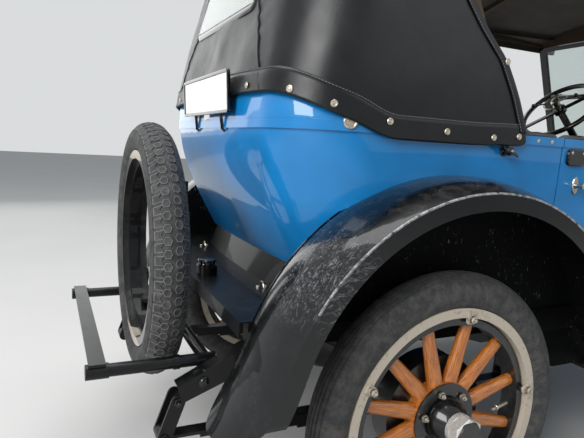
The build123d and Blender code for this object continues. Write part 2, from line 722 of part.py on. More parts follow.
# Spare rim and tyre, upright across the tail on their carrier
SPARE_PLANE = Plane(origin=(0, REAR_AXLE_Y + SPARE_Y, SPARE_Z), x_dir=(0, 1, 0), z_dir=(1, 0, 0))
SPARE_AXIS = Axis((0, REAR_AXLE_Y + SPARE_Y, SPARE_Z), (0, 1, 0))
with BuildPart() as spare_rim:
    add(ring_about(rim_section(), SPARE_PLANE, SPARE_AXIS))
save(spare_rim.part, "spare_rim")

with BuildPart() as spare_tyre:
    add(ring_about(tyre_section(), SPARE_PLANE, SPARE_AXIS))
    add(ring_about(rim_section(), SPARE_PLANE, SPARE_AXIS), mode=Mode.SUBTRACT)
save(spare_tyre.part, "spare_tyre")

# Luggage rack: tubes on the frame's tail, with the arms and the ring that hold the spare rim
RING_RADIUS = INNER_RIM_RADIUS - FACE_CLEARANCE
ARM_X = 150
ARM_GAUGE = 10
ARM_REACH = 230
RACK_PLATE_X = rail_x(RACK_CROSS_Y - 30) - RAIL_FLANGE - 2 * FACE_CLEARANCE
with BuildPart() as luggage_rack:
    with Locations((0, REAR_AXLE_Y + RACK_CROSS_Y, RACK_Z)):
        Cylinder(RACK_TUBE_RADIUS, 2 * RACK_PLATE_X, rotation=(0, 90, 0))
    for _, sign in SIDES:
        with Locations((sign * RACK_X, REAR_AXLE_Y + (RACK_CROSS_Y + RACK_END_Y) / 2, RACK_Z)):
            Cylinder(RACK_TUBE_RADIUS, RACK_END_Y - RACK_CROSS_Y, rotation=(90, 0, 0))
        with Locations((sign * RACK_X, REAR_AXLE_Y + RACK_END_Y - 18, RACK_Z)):
            Cylinder(RACK_TUBE_RADIUS + 3, 60, rotation=(90, 0, 0))
        with Locations((sign * RACK_X, REAR_AXLE_Y + RACK_CROSS_Y + 85, RACK_Z)):
            Cylinder(RACK_TUBE_RADIUS + 3, 18, rotation=(90, 0, 0))
        with Locations((sign * (RACK_PLATE_X - 6), REAR_AXLE_Y + RACK_CROSS_Y, RACK_Z - 14)):
            Box(12, 52, 2 * RACK_TUBE_RADIUS + 36)
    with Locations((0, REAR_AXLE_Y + RACK_END_Y - 18, RACK_Z + RACK_TUBE_RADIUS + 4)):
        Box(2 * RACK_X + 36, 44, 8)
    with BuildSketch(Plane(origin=(0, REAR_AXLE_Y + SPARE_Y, SPARE_Z), x_dir=(1, 0, 0), z_dir=(0, -1, 0))):
        Circle(RING_RADIUS)
        Circle(RING_RADIUS - 14, mode=Mode.SUBTRACT)
    extrude(amount=SPARE_RING_WIDTH / 2, both=True)
    arm_y = REAR_AXLE_Y + RACK_CROSS_Y + RACK_TUBE_RADIUS
    arm_top = SPARE_Z + ARM_REACH + 10
    ring_face_y = REAR_AXLE_Y + SPARE_Y - SPARE_RING_WIDTH / 2
    for _, sign in SIDES:
        with Locations((sign * ARM_X, arm_y, (RACK_Z + arm_top) / 2)):
            Box(40, ARM_GAUGE, arm_top - RACK_Z)
        for height in (-ARM_REACH, ARM_REACH):
            with Locations((sign * ARM_X, (arm_y + ring_face_y) / 2 + 6, SPARE_Z + height)):
                Box(40, ring_face_y - arm_y + 12, 12)
save(luggage_rack.part, "luggage_rack")

# Engine as one plain block on its cross members
with BuildPart() as engine:
    with Locations((0, REAR_AXLE_Y - 2600, CROSS_LOW + CROSS_DEPTH + 210)):
        Box(380, 520, 420)
save(engine.part, "engine")

# Body tub: floor, sills, pillars and the round rear shell behind the seats
BODY_TOP = BODY_LEVELS[-1][0]


def door_prism(front, rear, gap):
    """Solid through the whole body in a door's outline, with a notch over the rear fender."""
    with BuildPart() as prism:
        with BuildSketch(side_plane(0)):
            with BuildLine():
                if rear > BODY_WIDEST:
                    arch = FENDER_ARCH_RADIUS + FENDER_DOOR_SPACE + gap
                    rear_z = TYRE_RADIUS + math.sqrt(arch**2 - (rear - gap) ** 2)
                    sill_y = -math.sqrt(arch**2 - (DOOR_SILL + gap - TYRE_RADIUS) ** 2)
                    turn = math.radians(148)
                    Polyline((rear - gap, rear_z), (rear - gap, BODY_TOP + 40), (front + gap, BODY_TOP + 40))
                    Polyline((front + gap, BODY_TOP + 40), (front + gap, DOOR_SILL + gap), (sill_y, DOOR_SILL + gap))
                    ThreePointArc(
                        (sill_y, DOOR_SILL + gap),
                        (arch * math.cos(turn), TYRE_RADIUS + arch * math.sin(turn)),
                        (rear - gap, rear_z),
                    )
                else:
                    Polyline(
                        (front + gap, BODY_TOP + 40),
                        (front + gap, DOOR_SILL + gap),
                        (rear - gap, DOOR_SILL + gap),
                        (rear - gap, BODY_TOP + 40),
                        close=True,
                    )
            make_face()
        extrude(amount=800, both=True)
    return prism.part


def hinge_x(front):
    """Hinge line of a door: just outside the body's widest level at its front edge."""
    _, cowl_half, half, _, _ = BODY_LEVELS[-1]
    share = min(1.0, (front - BODY_FRONT) / (BODY_WIDEST - BODY_FRONT))
    return cowl_half + (half - cowl_half) * share + BELT_RELIEF + HINGE_OUT


def cabin_form():
    """Room inside the body, over the floor and the raised rear pan."""
    with BuildPart() as room:
        add(body_form(BODY_WALL, BODY_FRONT - 10))
        with Locations((0, REAR_AXLE_Y + REAR_PAN_FRONT - 1500, 0)):
            Box(1500, 3000, 2 * FLOOR_TOP, mode=Mode.SUBTRACT)
        with Locations((0, REAR_AXLE_Y + REAR_PAN_FRONT + 1500, 0)):
            Box(1500, 3000, 2 * REAR_PAN_TOP, mode=Mode.SUBTRACT)
    return room.part


with BuildPart() as body_tub:
    add(body_form())
    add(belt_form())
    add(cabin_form(), mode=Mode.SUBTRACT)
    with Locations((0, REAR_AXLE_Y + REAR_PAN_FRONT + BODY_WALL + 1500, 0)):
        Box(1500, 3000, 2 * REAR_PAN_BOTTOM, mode=Mode.SUBTRACT)
    for _, sign in SIDES:
        with BuildSketch(side_plane(sign * (rail_x(0) - RAIL_FLANGE / 2) - 18)):
            with BuildLine():
                foot = [(y, rail_top(y) + 2 * FACE_CLEARANCE) for y in (-346, -340, -120, PAN_SILL_REAR)]
                Polyline((-346, REAR_PAN_BOTTOM + 2), *foot, (PAN_SILL_REAR, REAR_PAN_BOTTOM + 2), close=True)
            make_face()
        extrude(amount=36)
    for _, front, rear in DOORS:
        add(door_prism(front, rear, 0), mode=Mode.SUBTRACT)
        for _, sign in SIDES:
            for level in HINGE_LEVELS:
                for face in (-1, 1):
                    barrel_z = level + face * (HINGE_LENGTH * 0.75 + FACE_CLEARANCE)
                    with Locations((sign * hinge_x(front), REAR_AXLE_Y + front + DOOR_GAP / 2, barrel_z)):
                        Cylinder(HINGE_RADIUS, HINGE_LENGTH / 2)
                    with Locations((sign * (hinge_x(front) - 30), REAR_AXLE_Y + front - 6, barrel_z)):
                        Box(60, 10, HINGE_LENGTH / 2)
save(body_tub.part, "body_tub")

for door_name, front, rear in DOORS:
    for side, sign in SIDES:
        with BuildPart() as door:
            add(body_form())
            add(belt_form())
            add(body_form(BODY_WALL, BODY_FRONT - 10), mode=Mode.SUBTRACT)
            add(door_prism(front, rear, DOOR_GAP), mode=Mode.INTERSECT)
            with Locations((sign * 500, REAR_AXLE_Y + (front + rear) / 2, BODY_TOP)):
                Box(1000, 2000, 3000, mode=Mode.INTERSECT)
            for level in HINGE_LEVELS:
                with Locations((sign * hinge_x(front), REAR_AXLE_Y + front + DOOR_GAP / 2, level)):
                    Cylinder(HINGE_RADIUS, HINGE_LENGTH)
                with Locations((sign * (hinge_x(front) - 30), REAR_AXLE_Y + front + DOOR_GAP + 5, level)):
                    Box(60, 10, HINGE_LENGTH)
        save(door.part, f"door_{door_name}_{side}")

# Line of the steering column
RAKE = math.radians(STEER_RAKE)
COLUMN_UP = Vector(0, math.cos(RAKE), math.sin(RAKE))
HUB_CENTRE = Vector(STEER_X, REAR_AXLE_Y + STEER_HUB_Y, STEER_HUB_Z)

# Rod that the hood halves hinge on, from the radiator's top to the cowl's
HOOD_ROD = [Vector(0, REAR_AXLE_Y + y, top - HOOD_GAUGE) for y, _, _, top in (HOOD_FRONT, HOOD_REAR)]

# Cowl: the arched scuttle from the firewall to the instrument board
with BuildPart() as cowl:
    add(arch_form((HOOD_REAR, COWL_REAR), COWL_BOTTOM))
    add(arch_form((HOOD_REAR, COWL_REAR), COWL_BOTTOM - 50, COWL_WALL, 10), mode=Mode.SUBTRACT)
    for place, thickness in ((HOOD_REAR[0] + 10, 20), (COWL_REAR[0] - 60, 16)):
        share = (place - HOOD_REAR[0]) / (COWL_REAR[0] - HOOD_REAR[0])
        middle = [a + (b - a) * share for a, b in zip(HOOD_REAR, COWL_REAR)]
        with BuildSketch(cross_plane(place)):
            half, shoulder, top = middle[1] - COWL_WALL + 1, middle[2], middle[3] - COWL_WALL + 1
            rise = top - shoulder
            low = COWL_BOTTOM if place < -2200 else 960
            with BuildLine():
                Polyline((-half, shoulder), (-half, low), (half, low), (half, shoulder))
                ThreePointArc((half, shoulder), (half * 0.7, shoulder + rise * 0.68), (0, top))
                ThreePointArc((0, top), (-half * 0.7, shoulder + rise * 0.68), (-half, shoulder))
            make_face()
        extrude(amount=thickness / 2, both=True)
    with BuildSketch(Plane(origin=HUB_CENTRE - COLUMN_UP * COLUMN_LENGTH, z_dir=COLUMN_UP)):
        Circle(COLUMN_RADIUS + 3)
    extrude(amount=COLUMN_LENGTH, mode=Mode.SUBTRACT)
    with BuildSketch(Plane(origin=HOOD_ROD[1], z_dir=HOOD_ROD[0] - HOOD_ROD[1])):
        Circle(HOOD_ROD_RADIUS)
    extrude(amount=(HOOD_ROD[0] - HOOD_ROD[1]).length - 2 * FACE_CLEARANCE)
save(cowl.part, "cowl")

def hood_side(y, out, sign):
    """Point beside the hood at a place along the car, out from its side sheet."""
    share = (y - HOOD_FRONT[0]) / (HOOD_REAR[0] - HOOD_FRONT[0])
    return (sign * (HOOD_FRONT[1] + (HOOD_REAR[1] - HOOD_FRONT[1]) * share + out), y)


def louvre_row(sign, margin):
    """Wedges of a hood side's louvres, which open to the rear. With a margin, their hollows."""
    with BuildPart() as row:
        with BuildSketch(plan_plane(LOUVRE_BOTTOM + margin)):
            for place in range(LOUVRE_COUNT):
                ahead = LOUVRE_FIRST + place * LOUVRE_PITCH + margin
                behind = LOUVRE_FIRST + place * LOUVRE_PITCH + LOUVRE_LENGTH + (margin > 0)
                inner = -HOOD_GAUGE / 2 - margin
                corners = [(ahead, inner), (behind, LOUVRE_OUT - margin), (behind, inner)]
                with BuildLine():
                    Polyline(*[hood_side(y, out, sign) for y, out in corners], close=True)
                make_face()
        extrude(amount=LOUVRE_HEIGHT - 2 * margin)
    return row.part


# Hood halves, hinged along the middle, with a row of louvres in each side
for side, sign in SIDES:
    with BuildPart() as hood:
        add(arch_form((HOOD_FRONT, HOOD_REAR), HOOD_BOTTOM, 0, -LID_GAP))
        add(arch_form((HOOD_FRONT, HOOD_REAR), HOOD_BOTTOM - 50, HOOD_GAUGE, 50), mode=Mode.SUBTRACT)
        with Locations((sign * (500 + HOOD_SPLIT), REAR_AXLE_Y + HOOD_FRONT[0], 0)):
            Box(1000, 3000, 3000, mode=Mode.INTERSECT)
        add(louvre_row(sign, 0))
        add(louvre_row(sign, 2.0), mode=Mode.SUBTRACT)
    save(hood.part, f"hood_{side}")

def core_outline():
    """Outline of the radiator's core inside its shell."""
    half, shoulder, top = HOOD_FRONT[1] - RADIATOR_RIM, HOOD_FRONT[2] - 20, HOOD_FRONT[3] - 50
    with BuildLine() as line:
        Polyline((-half, shoulder), (-half, 610), (half, 610), (half, shoulder))
        ThreePointArc((half, shoulder), (0, top), (-half, shoulder))
    return line.line


# Radiator: shell with a recessed core of upright fins and a filler cap
with BuildPart() as radiator:
    add(arch_form(((RADIATOR_FRONT, *HOOD_FRONT[1:]), HOOD_FRONT), RADIATOR_BOTTOM, -6))
    with BuildSketch(cross_plane(RADIATOR_FRONT)):
        add(core_outline())
        make_face()
    extrude(amount=-CORE_RECESS, mode=Mode.SUBTRACT)
    with BuildSketch(cross_plane(RADIATOR_FRONT + CORE_RECESS)):
        add(core_outline())
        make_face()
        with GridLocations(CORE_FIN_PITCH, 0, CORE_FINS, 1):
            Rectangle(CORE_FIN_GAUGE, 3000, mode=Mode.INTERSECT)
    extrude(amount=CORE_FIN_DEPTH)
    with Locations((0, REAR_AXLE_Y + RADIATOR_FRONT + 45, HOOD_FRONT[3] + 26)):
        Cylinder(30, 50)
save(radiator.part, "radiator")


# Fenders: crowned sheet with a turned-down outer edge, swept along the wheel
def fender_section(plane, inner_x, sign):
    """Closed section of a fender's sheet across its path."""
    outer, inner = FENDER_OUTER_X * sign, inner_x * sign
    middle = (outer + inner) / 2
    gauge = FENDER_GAUGE
    with BuildSketch(plane) as sketch:
        with BuildLine():
            Line((outer, 0), (outer, -FENDER_SKIRT))
            Line((outer, -FENDER_SKIRT), (outer - sign * gauge, -FENDER_SKIRT))
            Line((outer - sign * gauge, -FENDER_SKIRT), (outer - sign * gauge, -gauge))
            ThreePointArc(
                (outer - sign * gauge, -gauge), (middle, FENDER_CROWN - gauge), (inner, FENDER_CROWN * 0.5 - gauge)
            )
            Line((inner, FENDER_CROWN * 0.5 - gauge), (inner, FENDER_CROWN * 0.5))
            ThreePointArc((inner, FENDER_CROWN * 0.5), (middle, FENDER_CROWN), (outer, 0))
        make_face()
    return sketch.sketch


def crown_rise(inner_x, reach):
    """Height of a fender's outer face over its path, at a distance from the inner edge."""
    half = (FENDER_OUTER_X - inner_x) / 2
    from_middle = (reach - half) / half
    edge = 0.0 if from_middle > 0 else FENDER_CROWN * 0.5
    return FENDER_CROWN - (FENDER_CROWN - edge) * from_middle**2


def fender_along(path, inner_x, sign):
    """Fender's sheet swept along its path in the side view."""
    start = path @ 0
    ahead = path % 0
    plane = Plane(origin=(0, start.Y, start.Z), x_dir=(1, 0, 0), z_dir=ahead)
    with BuildPart() as sheet:
        add(fender_section(plane, inner_x, sign))
        sweep(path=path)
    return sheet.part


with BuildLine(side_plane(0)) as rear_fender_path:
    tail = ThreePointArc((646, 455), (581, 555), (540, 655))
    rear_arch = ThreePointArc((540, 655), (130, 1048), (-510, 800))
    toe = TangentArc((-510, 800), (-605, 640), tangent=rear_arch % 1)
    TangentArc((-605, 640), (BOARD_REAR + 1, BOARD_TOP + 4), tangent=toe % 1)

def rear_fender(sign):
    """Rear fender's sheet, trimmed along the body and ended in a rounded tail."""
    with BuildPart() as sheet:
        add(fender_along(rear_fender_path.wire(), TAIL_INNER_X, sign))
        with BuildSketch(cross_plane(700)):
            with Locations((sign * 720, 800)):
                Rectangle(400, 1000)
            with BuildLine():
                Polyline((sign * 900, 560), (sign * 900, 1250), (sign * FENDER_INNER_X, 1250))
                Polyline((sign * FENDER_INNER_X, 1250), (sign * FENDER_INNER_X, TAIL_FLARE), (sign * TAIL_INNER_X, 545))
                ThreePointArc(
                    (sign * TAIL_INNER_X, 545),
                    (sign * (TAIL_INNER_X + 30), TAIL_BOTTOM + 20),
                    (sign * (TAIL_INNER_X + 100), TAIL_BOTTOM),
                )
                Line((sign * (TAIL_INNER_X + 100), TAIL_BOTTOM), (sign * (FENDER_OUTER_X - 85), TAIL_BOTTOM))
                ThreePointArc(
                    (sign * (FENDER_OUTER_X - 85), TAIL_BOTTOM),
                    (sign * (FENDER_OUTER_X - 25), TAIL_BOTTOM + 25),
                    (sign * (FENDER_OUTER_X + 1), 560),
                )
                Line((sign * (FENDER_OUTER_X + 1), 560), (sign * 900, 560))
            make_face(mode=Mode.SUBTRACT)
        extrude(amount=700, mode=Mode.SUBTRACT)
        with Locations((sign * FENDER_INNER_X / 2, REAR_AXLE_Y - 500, 700)):
            Box(FENDER_INNER_X, 1000, 1500, mode=Mode.SUBTRACT)
    return sheet.part


def wheelhouse_form():
    """Thin walls inboard of the rear wheels: along the body, then straight back to the fender's tail."""
    centre = rear_arch.arc_center
    reach = rear_arch.radius + FENDER_CROWN - 1.5 * FENDER_GAUGE
    with BuildPart() as walls:
        add(body_form(-FACE_CLEARANCE - FENDER_GAUGE))
        for _, sign in SIDES:
            with Locations((sign * (FENDER_INNER_X - FENDER_GAUGE / 2), REAR_AXLE_Y + 350, 950)):
                Box(FENDER_GAUGE, 500, 520)
        add(body_form(-FACE_CLEARANCE), mode=Mode.SUBTRACT)
        with BuildSketch(side_plane(-900)):
            with Locations((centre.Y - REAR_AXLE_Y, centre.Z)):
                Circle(reach)
            with Locations((0, WHEELHOUSE_BOTTOM)):
                Rectangle(1400, 700, align=(Align.CENTER, Align.MIN), mode=Mode.INTERSECT)
            with Locations((WHEELHOUSE_FRONT, WHEELHOUSE_BOTTOM)):
                Rectangle(1400, 700, align=(Align.MIN, Align.MIN), mode=Mode.INTERSECT)
        extrude(amount=1800, mode=Mode.INTERSECT)
        with Locations((0, REAR_AXLE_Y, 900)):
            Box(2 * (FENDER_INNER_X - FENDER_GAUGE), 3000, 1200, mode=Mode.SUBTRACT)
    return walls.part


with BuildPart() as rear_fenders:
    for _, sign in SIDES:
        add(rear_fender(sign))
    add(wheelhouse_form())
    add(body_form(-FACE_CLEARANCE), mode=Mode.SUBTRACT)
save(rear_fenders.part, "rear_fenders")

with BuildLine(side_plane(0)) as front_fender_path:
    front_lip = Line((BOARD_FRONT - 1, BOARD_TOP + 4), (-2420, 500))
    sweep_up = TangentArc((-2420, 500), (-2640, 800), tangent=front_lip % 1)
    front_arch = ThreePointArc((-2640, 800), (-2946, 925), (-3260, 780))
    TangentArc((-3260, 780), (-3400, 600), tangent=front_arch % 1)

with BuildPart() as front_fenders:
    for _, sign in SIDES:
        add(fender_along(front_fender_path.wire(), FRONT_FENDER_INNER_X, sign))
        for share, y, z in FENDER_IRONS:
            on_path = front_fender_path.wire() @ share
            ahead = front_fender_path.wire() % share
            rise = crown_rise(FRONT_FENDER_INNER_X, FENDER_IRON_REACH) - FENDER_GAUGE / 2
            tip = Vector(sign * (FRONT_FENDER_INNER_X + FENDER_IRON_REACH), on_path.Y, on_path.Z)
            tip += Vector(0, ahead.Z, -ahead.Y) * rise
            root = Vector(sign * (rail_x(y) + 1.5 * FENDER_IRON_RADIUS), REAR_AXLE_Y + y, z)
            with BuildSketch(Plane(origin=root, z_dir=tip - root)):
                Circle(FENDER_IRON_RADIUS)
            extrude(amount=(tip - root).length)
save(front_fenders.part, "front_fenders")

# Running boards with the aprons that close the gap to the body
BOARD_LENGTH = BOARD_REAR - BOARD_FRONT
with BuildPart() as running_boards:
    for _, sign in SIDES:
        board_x = sign * (BOARD_INNER_X + FENDER_OUTER_X) / 2
        with Locations((board_x, REAR_AXLE_Y + (BOARD_FRONT + BOARD_REAR) / 2, BOARD_TOP - BOARD_THICKNESS / 2)):
            Box(FENDER_OUTER_X - BOARD_INNER_X, BOARD_LENGTH, BOARD_THICKNESS)
        apron_top = BODY_LEVELS[0][0] - FACE_CLEARANCE
        apron_height = apron_top - BOARD_TOP + BOARD_THICKNESS
        with Locations((sign * (BOARD_INNER_X + 2), REAR_AXLE_Y + (BOARD_FRONT + BOARD_REAR) / 2, apron_top)):
            Box(APRON_GAUGE, BOARD_LENGTH, apron_height, align=(Align.CENTER, Align.CENTER, Align.MAX))
        for y in (-2150, -820):
            with Locations((sign * (rail_x(y) + BOARD_INNER_X + 202) / 2, REAR_AXLE_Y + y, BOARD_TOP - 34)):
                Box(BOARD_INNER_X + 198 - rail_x(y), 40, 20)
            with Locations((sign * (rail_x(y) + 6), REAR_AXLE_Y + y, 470)):
                Box(10, 40, 148)
save(running_boards.part, "running_boards")

def band_form(inset):
    """Solid between the plan lines of the band that stands under the body's round rear."""
    with BuildPart() as form:
        for height, rear in ((APRON_TOP, BAND_FOOT), (REAR_PAN_BOTTOM - FACE_CLEARANCE, BAND_HEAD)):
            with BuildSketch(plan_plane(height)):
                add(rounded_plan((height, BAND_HALF, rear, BAND_CORNER), BAND_HALF, BODY_FRONT, inset))
                make_face()
        loft()
        with Locations((0, REAR_AXLE_Y + APRON_FRONT - 1500, APRON_TOP)):
            Box(2000, 3000, 1000, mode=Mode.SUBTRACT)
    return form.part


# Rear apron: flat sheet under and behind the body with a turned-down edge, a band up to the
# body and a round cap
APRON_HALF = FENDER_INNER_X - FENDER_GAUGE - FACE_CLEARANCE
with BuildPart() as rear_apron:
    add(band_form(0))
    add(band_form(APRON_GAUGE + 1), mode=Mode.SUBTRACT)
    with Locations((0, REAR_AXLE_Y + (APRON_FRONT + APRON_REAR) / 2, APRON_TOP - 2)):
        Box(2 * APRON_HALF, APRON_REAR - APRON_FRONT, 4)
    with Locations((0, REAR_AXLE_Y + APRON_REAR - 2, APRON_TOP - 20)):
        Box(2 * APRON_HALF, 4, 40)
    with Locations((-135, REAR_AXLE_Y + 530, APRON_TOP + 14)):
        Cylinder(34, 32)
    for _, sign in SIDES:
        with BuildSketch(side_plane(sign * (rail_x(470) - 28) - 20)):
            with BuildLine():
                foot = [(y, rail_top(y) + 2 * FACE_CLEARANCE) for y in (450, 490)]
                Polyline(*foot, (490, APRON_TOP - 2), (450, APRON_TOP - 2), close=True)
            make_face()
        extrude(amount=40)
save(rear_apron.part, "rear_apron")


# Seats: cushion and leaning back in one padded form each
def seat_form(front, rear, low, high, back_top, half):
    """Solid of one bench seat."""
    lean = math.tan(math.radians(SEAT_BACK_LEAN))
    back_rear = rear + (back_top - high) * lean
    with BuildPart() as seat:
        with BuildSketch(side_plane(-half)):
            with BuildLine():
                Polyline(
                    (front, low),
                    (rear, low),
                    (rear + 10, high),
                    (back_rear, back_top),
                    (back_rear - SEAT_BACK_THICKNESS, back_top),
                    (rear - SEAT_BACK_THICKNESS, high),
                    (front, high),
                    close=True,
                )
            make_face()
        extrude(amount=2 * half)
        fillet(seat.edges().filter_by(Axis.X).group_by(Axis.Z)[-1], 30)
    return seat.part


with BuildPart() as seats:
    for _, *sizes in SEATS:
        add(seat_form(*sizes))
save(seats.part, "seats")

# Steering column and wheel
with BuildPart() as steering_column:
    with BuildSketch(Plane(origin=HUB_CENTRE - COLUMN_UP * COLUMN_LENGTH, z_dir=COLUMN_UP)):
        Circle(COLUMN_RADIUS)
    extrude(amount=COLUMN_LENGTH - 24)
    with BuildSketch(Plane(origin=HUB_CENTRE - COLUMN_UP * COLUMN_LENGTH, z_dir=COLUMN_UP)):
        Circle(10)
    extrude(amount=COLUMN_LENGTH - 2)
    with Locations((STEER_X - 10, REAR_AXLE_Y - 2400, CROSS_LOW + CROSS_DEPTH + 65)):
        Box(56, 130, 130)
save(steering_column.part, "steering_column")

with BuildPart() as steering_wheel:
    rim_plane = Plane(origin=HUB_CENTRE, x_dir=(1, 0, 0), z_dir=COLUMN_UP)
    with Locations(rim_plane.location):
        Torus(STEER_WHEEL_RADIUS - STEER_RIM_RADIUS, STEER_RIM_RADIUS)
    with BuildSketch(rim_plane.offset(-14)):
        Circle(34)
        Circle(10 + RUNNING_CLEARANCE, mode=Mode.SUBTRACT)
    extrude(amount=28)
    with BuildSketch(rim_plane.offset(2)):
        Circle(34)
    extrude(amount=12)
    for place in range(4):
        with BuildSketch(rim_plane.offset(-5)):
            with PolarLocations(STEER_WHEEL_RADIUS / 2 + 8, 1, start_angle=45 + 90 * place):
                Rectangle(STEER_WHEEL_RADIUS - 40, 20)
        extrude(amount=10)
save(steering_wheel.part, "steering_wheel")

# Windshield: leaning frame with two posts and a middle bar, and two panes
LEAN = math.radians(WINDSHIELD_LEAN)
SHIELD_UP = Vector(0, math.sin(LEAN), math.cos(LEAN))
SHIELD_PLANE = Plane(
    origin=(0, REAR_AXLE_Y + WINDSHIELD_Y, WINDSHIELD_BASE),
    x_dir=(1, 0, 0),
    z_dir=Vector(1, 0, 0).cross(SHIELD_UP),
)
with BuildPart() as windshield_frame:
    with BuildSketch(SHIELD_PLANE.offset(-WINDSHIELD_BAR / 2)):
        with Locations((0, WINDSHIELD_HEIGHT / 2)):
            Rectangle(2 * WINDSHIELD_HALF_WIDTH, WINDSHIELD_HEIGHT)
            pane = (WINDSHIELD_HEIGHT - 3 * WINDSHIELD_BAR) / 2
        for place in (WINDSHIELD_BAR + pane / 2, WINDSHIELD_HEIGHT - WINDSHIELD_BAR - pane / 2):
            with Locations((0, place)):
                Rectangle(2 * (WINDSHIELD_HALF_WIDTH - WINDSHIELD_BAR), pane, mode=Mode.SUBTRACT)
        with Locations((0, -60)):
            Rectangle(2 * WINDSHIELD_HALF_WIDTH, 122)
        for _, sign in SIDES:
            with Locations((sign * (WINDSHIELD_HALF_WIDTH + 6), 220)):
                Rectangle(20, 2 * (WINDSHIELD_HEIGHT + 1 - 220))
    extrude(amount=WINDSHIELD_BAR)
    add(arch_form((HOOD_REAR, COWL_REAR), COWL_BOTTOM, -FACE_CLEARANCE), mode=Mode.SUBTRACT)
    add(body_form(-FACE_CLEARANCE), mode=Mode.SUBTRACT)
    add(belt_form(), mode=Mode.SUBTRACT)
save(windshield_frame.part, "windshield_frame")

with BuildPart() as windshield_glass:
    with BuildSketch(SHIELD_PLANE.offset(-GLASS_THICKNESS / 2)):
        for place in (WINDSHIELD_BAR + pane / 2, WINDSHIELD_HEIGHT - WINDSHIELD_BAR - pane / 2):
            with Locations((0, place)):
                Rectangle(2 * (WINDSHIELD_HALF_WIDTH - WINDSHIELD_BAR), pane)
    extrude(amount=GLASS_THICKNESS)
save(windshield_glass.part, "windshield_glass")

# Top: roof, quarters and back curtain in one cover, open at the sides and ahead
CURTAIN_LEAN = math.degrees(math.atan2(TOP_LEVELS[0][2] - TOP_LEVELS[1][2], TOP_LEVELS[1][0] - TOP_LEVELS[0][0]))
WINDOW_Y = TOP_LEVELS[1][2] - (REAR_WINDOW_Z - TOP_LEVELS[1][0]) * (TOP_LEVELS[1][2] - TOP_LEVELS[2][2]) / (
    TOP_LEVELS[2][0] - TOP_LEVELS[1][0]
)
with BuildPart() as top_cover:
    add(top_form())
    add(top_form(TOP_THICKNESS), mode=Mode.SUBTRACT)
    with BuildSketch(side_plane(0)):
        with BuildLine():
            Polyline(
                (TOP_FRONT - 50, 1000),
                (TOP_FRONT - 50, VALANCE_BOTTOM),
                (-20, VALANCE_BOTTOM),
                (60, 1730),
                (-35, 1569),
                (-160, 1424),
                (-253, 1236),
                (-253, 1000),
                close=True,
            )
        make_face()
        with BuildLine():
            ThreePointArc((150, 1186), (236, 1196), (290, 1216))
            ThreePointArc((290, 1216), (350, 1243), (463, 1262))
            Polyline((463, 1262), (700, 1272), (700, 1100), (150, 1100), (150, 1186))
        make_face()
    extrude(amount=900, both=True, mode=Mode.SUBTRACT)
    with Locations((0, REAR_AXLE_Y + WINDOW_Y, REAR_WINDOW_Z)):
        Box(REAR_WINDOW[0], 200, REAR_WINDOW[1], mode=Mode.SUBTRACT)
save(top_cover.part, "top_cover")

# Rear window in its frame, in the back curtain's slope
with BuildPart() as rear_window:
    window_plane = Plane(
        origin=(0, REAR_AXLE_Y + WINDOW_Y - 2, REAR_WINDOW_Z),
        x_dir=(1, 0, 0),
        z_dir=Vector(0, 1, 0).rotate(Axis.X, 15),
    )
    with BuildSketch(window_plane.offset(-6)):
        Rectangle(REAR_WINDOW[0] - 2 * FACE_CLEARANCE, REAR_WINDOW[1] - 4 * FACE_CLEARANCE)
    extrude(amount=6)
save(rear_window.part, "rear_window")

def header_form():
    """Board that closes the front bow from the windshield's top to the roof."""
    with BuildPart() as board:
        add(top_form(TOP_THICKNESS + FACE_CLEARANCE))
        with Locations((0, REAR_AXLE_Y + BOW_PLACES[0], BOW_BOTTOM)):
            Box(1800, BOW_SECTION, 400, align=(Align.CENTER, Align.CENTER, Align.MIN), mode=Mode.INTERSECT)
    return board.part


# Bows under the roof, joined by side rails, and a leaning leg each side down to the body's rim
with BuildPart() as top_bows:
    add(top_form(TOP_THICKNESS + FACE_CLEARANCE))
    add(top_form(TOP_THICKNESS + FACE_CLEARANCE + BOW_SECTION), mode=Mode.SUBTRACT)
    rail_length = BOW_PLACES[-1] - BOW_PLACES[0] + BOW_SECTION
    with BuildSketch(side_plane(-900)):
        for y in BOW_PLACES:
            with Locations((y, BOW_BOTTOM)):
                Rectangle(BOW_SECTION, 400, align=(Align.CENTER, Align.MIN))
        with Locations(((BOW_PLACES[0] + BOW_PLACES[-1]) / 2, BOW_BOTTOM)):
            Rectangle(rail_length, TOP_RAIL_DEPTH, align=(Align.CENTER, Align.MIN))
    extrude(amount=1800, mode=Mode.INTERSECT)
    add(header_form())
    for _, sign in SIDES:
        foot = Vector(sign * BOW_LEG_FOOT[0], REAR_AXLE_Y + BOW_LEG_FOOT[1], BODY_TOP - 40)
        head = Vector(sign * BOW_LEG_HEAD[0], REAR_AXLE_Y + BOW_LEG_HEAD[1], BOW_BOTTOM + 20)
        with BuildSketch(Plane(origin=foot, x_dir=(1, 0, 0), z_dir=head - foot)):
            Rectangle(BOW_SECTION, BOW_SECTION)
        extrude(amount=(head - foot).length)
    with Locations((0, REAR_AXLE_Y, BODY_TOP + FACE_CLEARANCE - 100)):
        Box(2000, 3000, 200, mode=Mode.SUBTRACT)
save(top_bows.part, "top_bows")

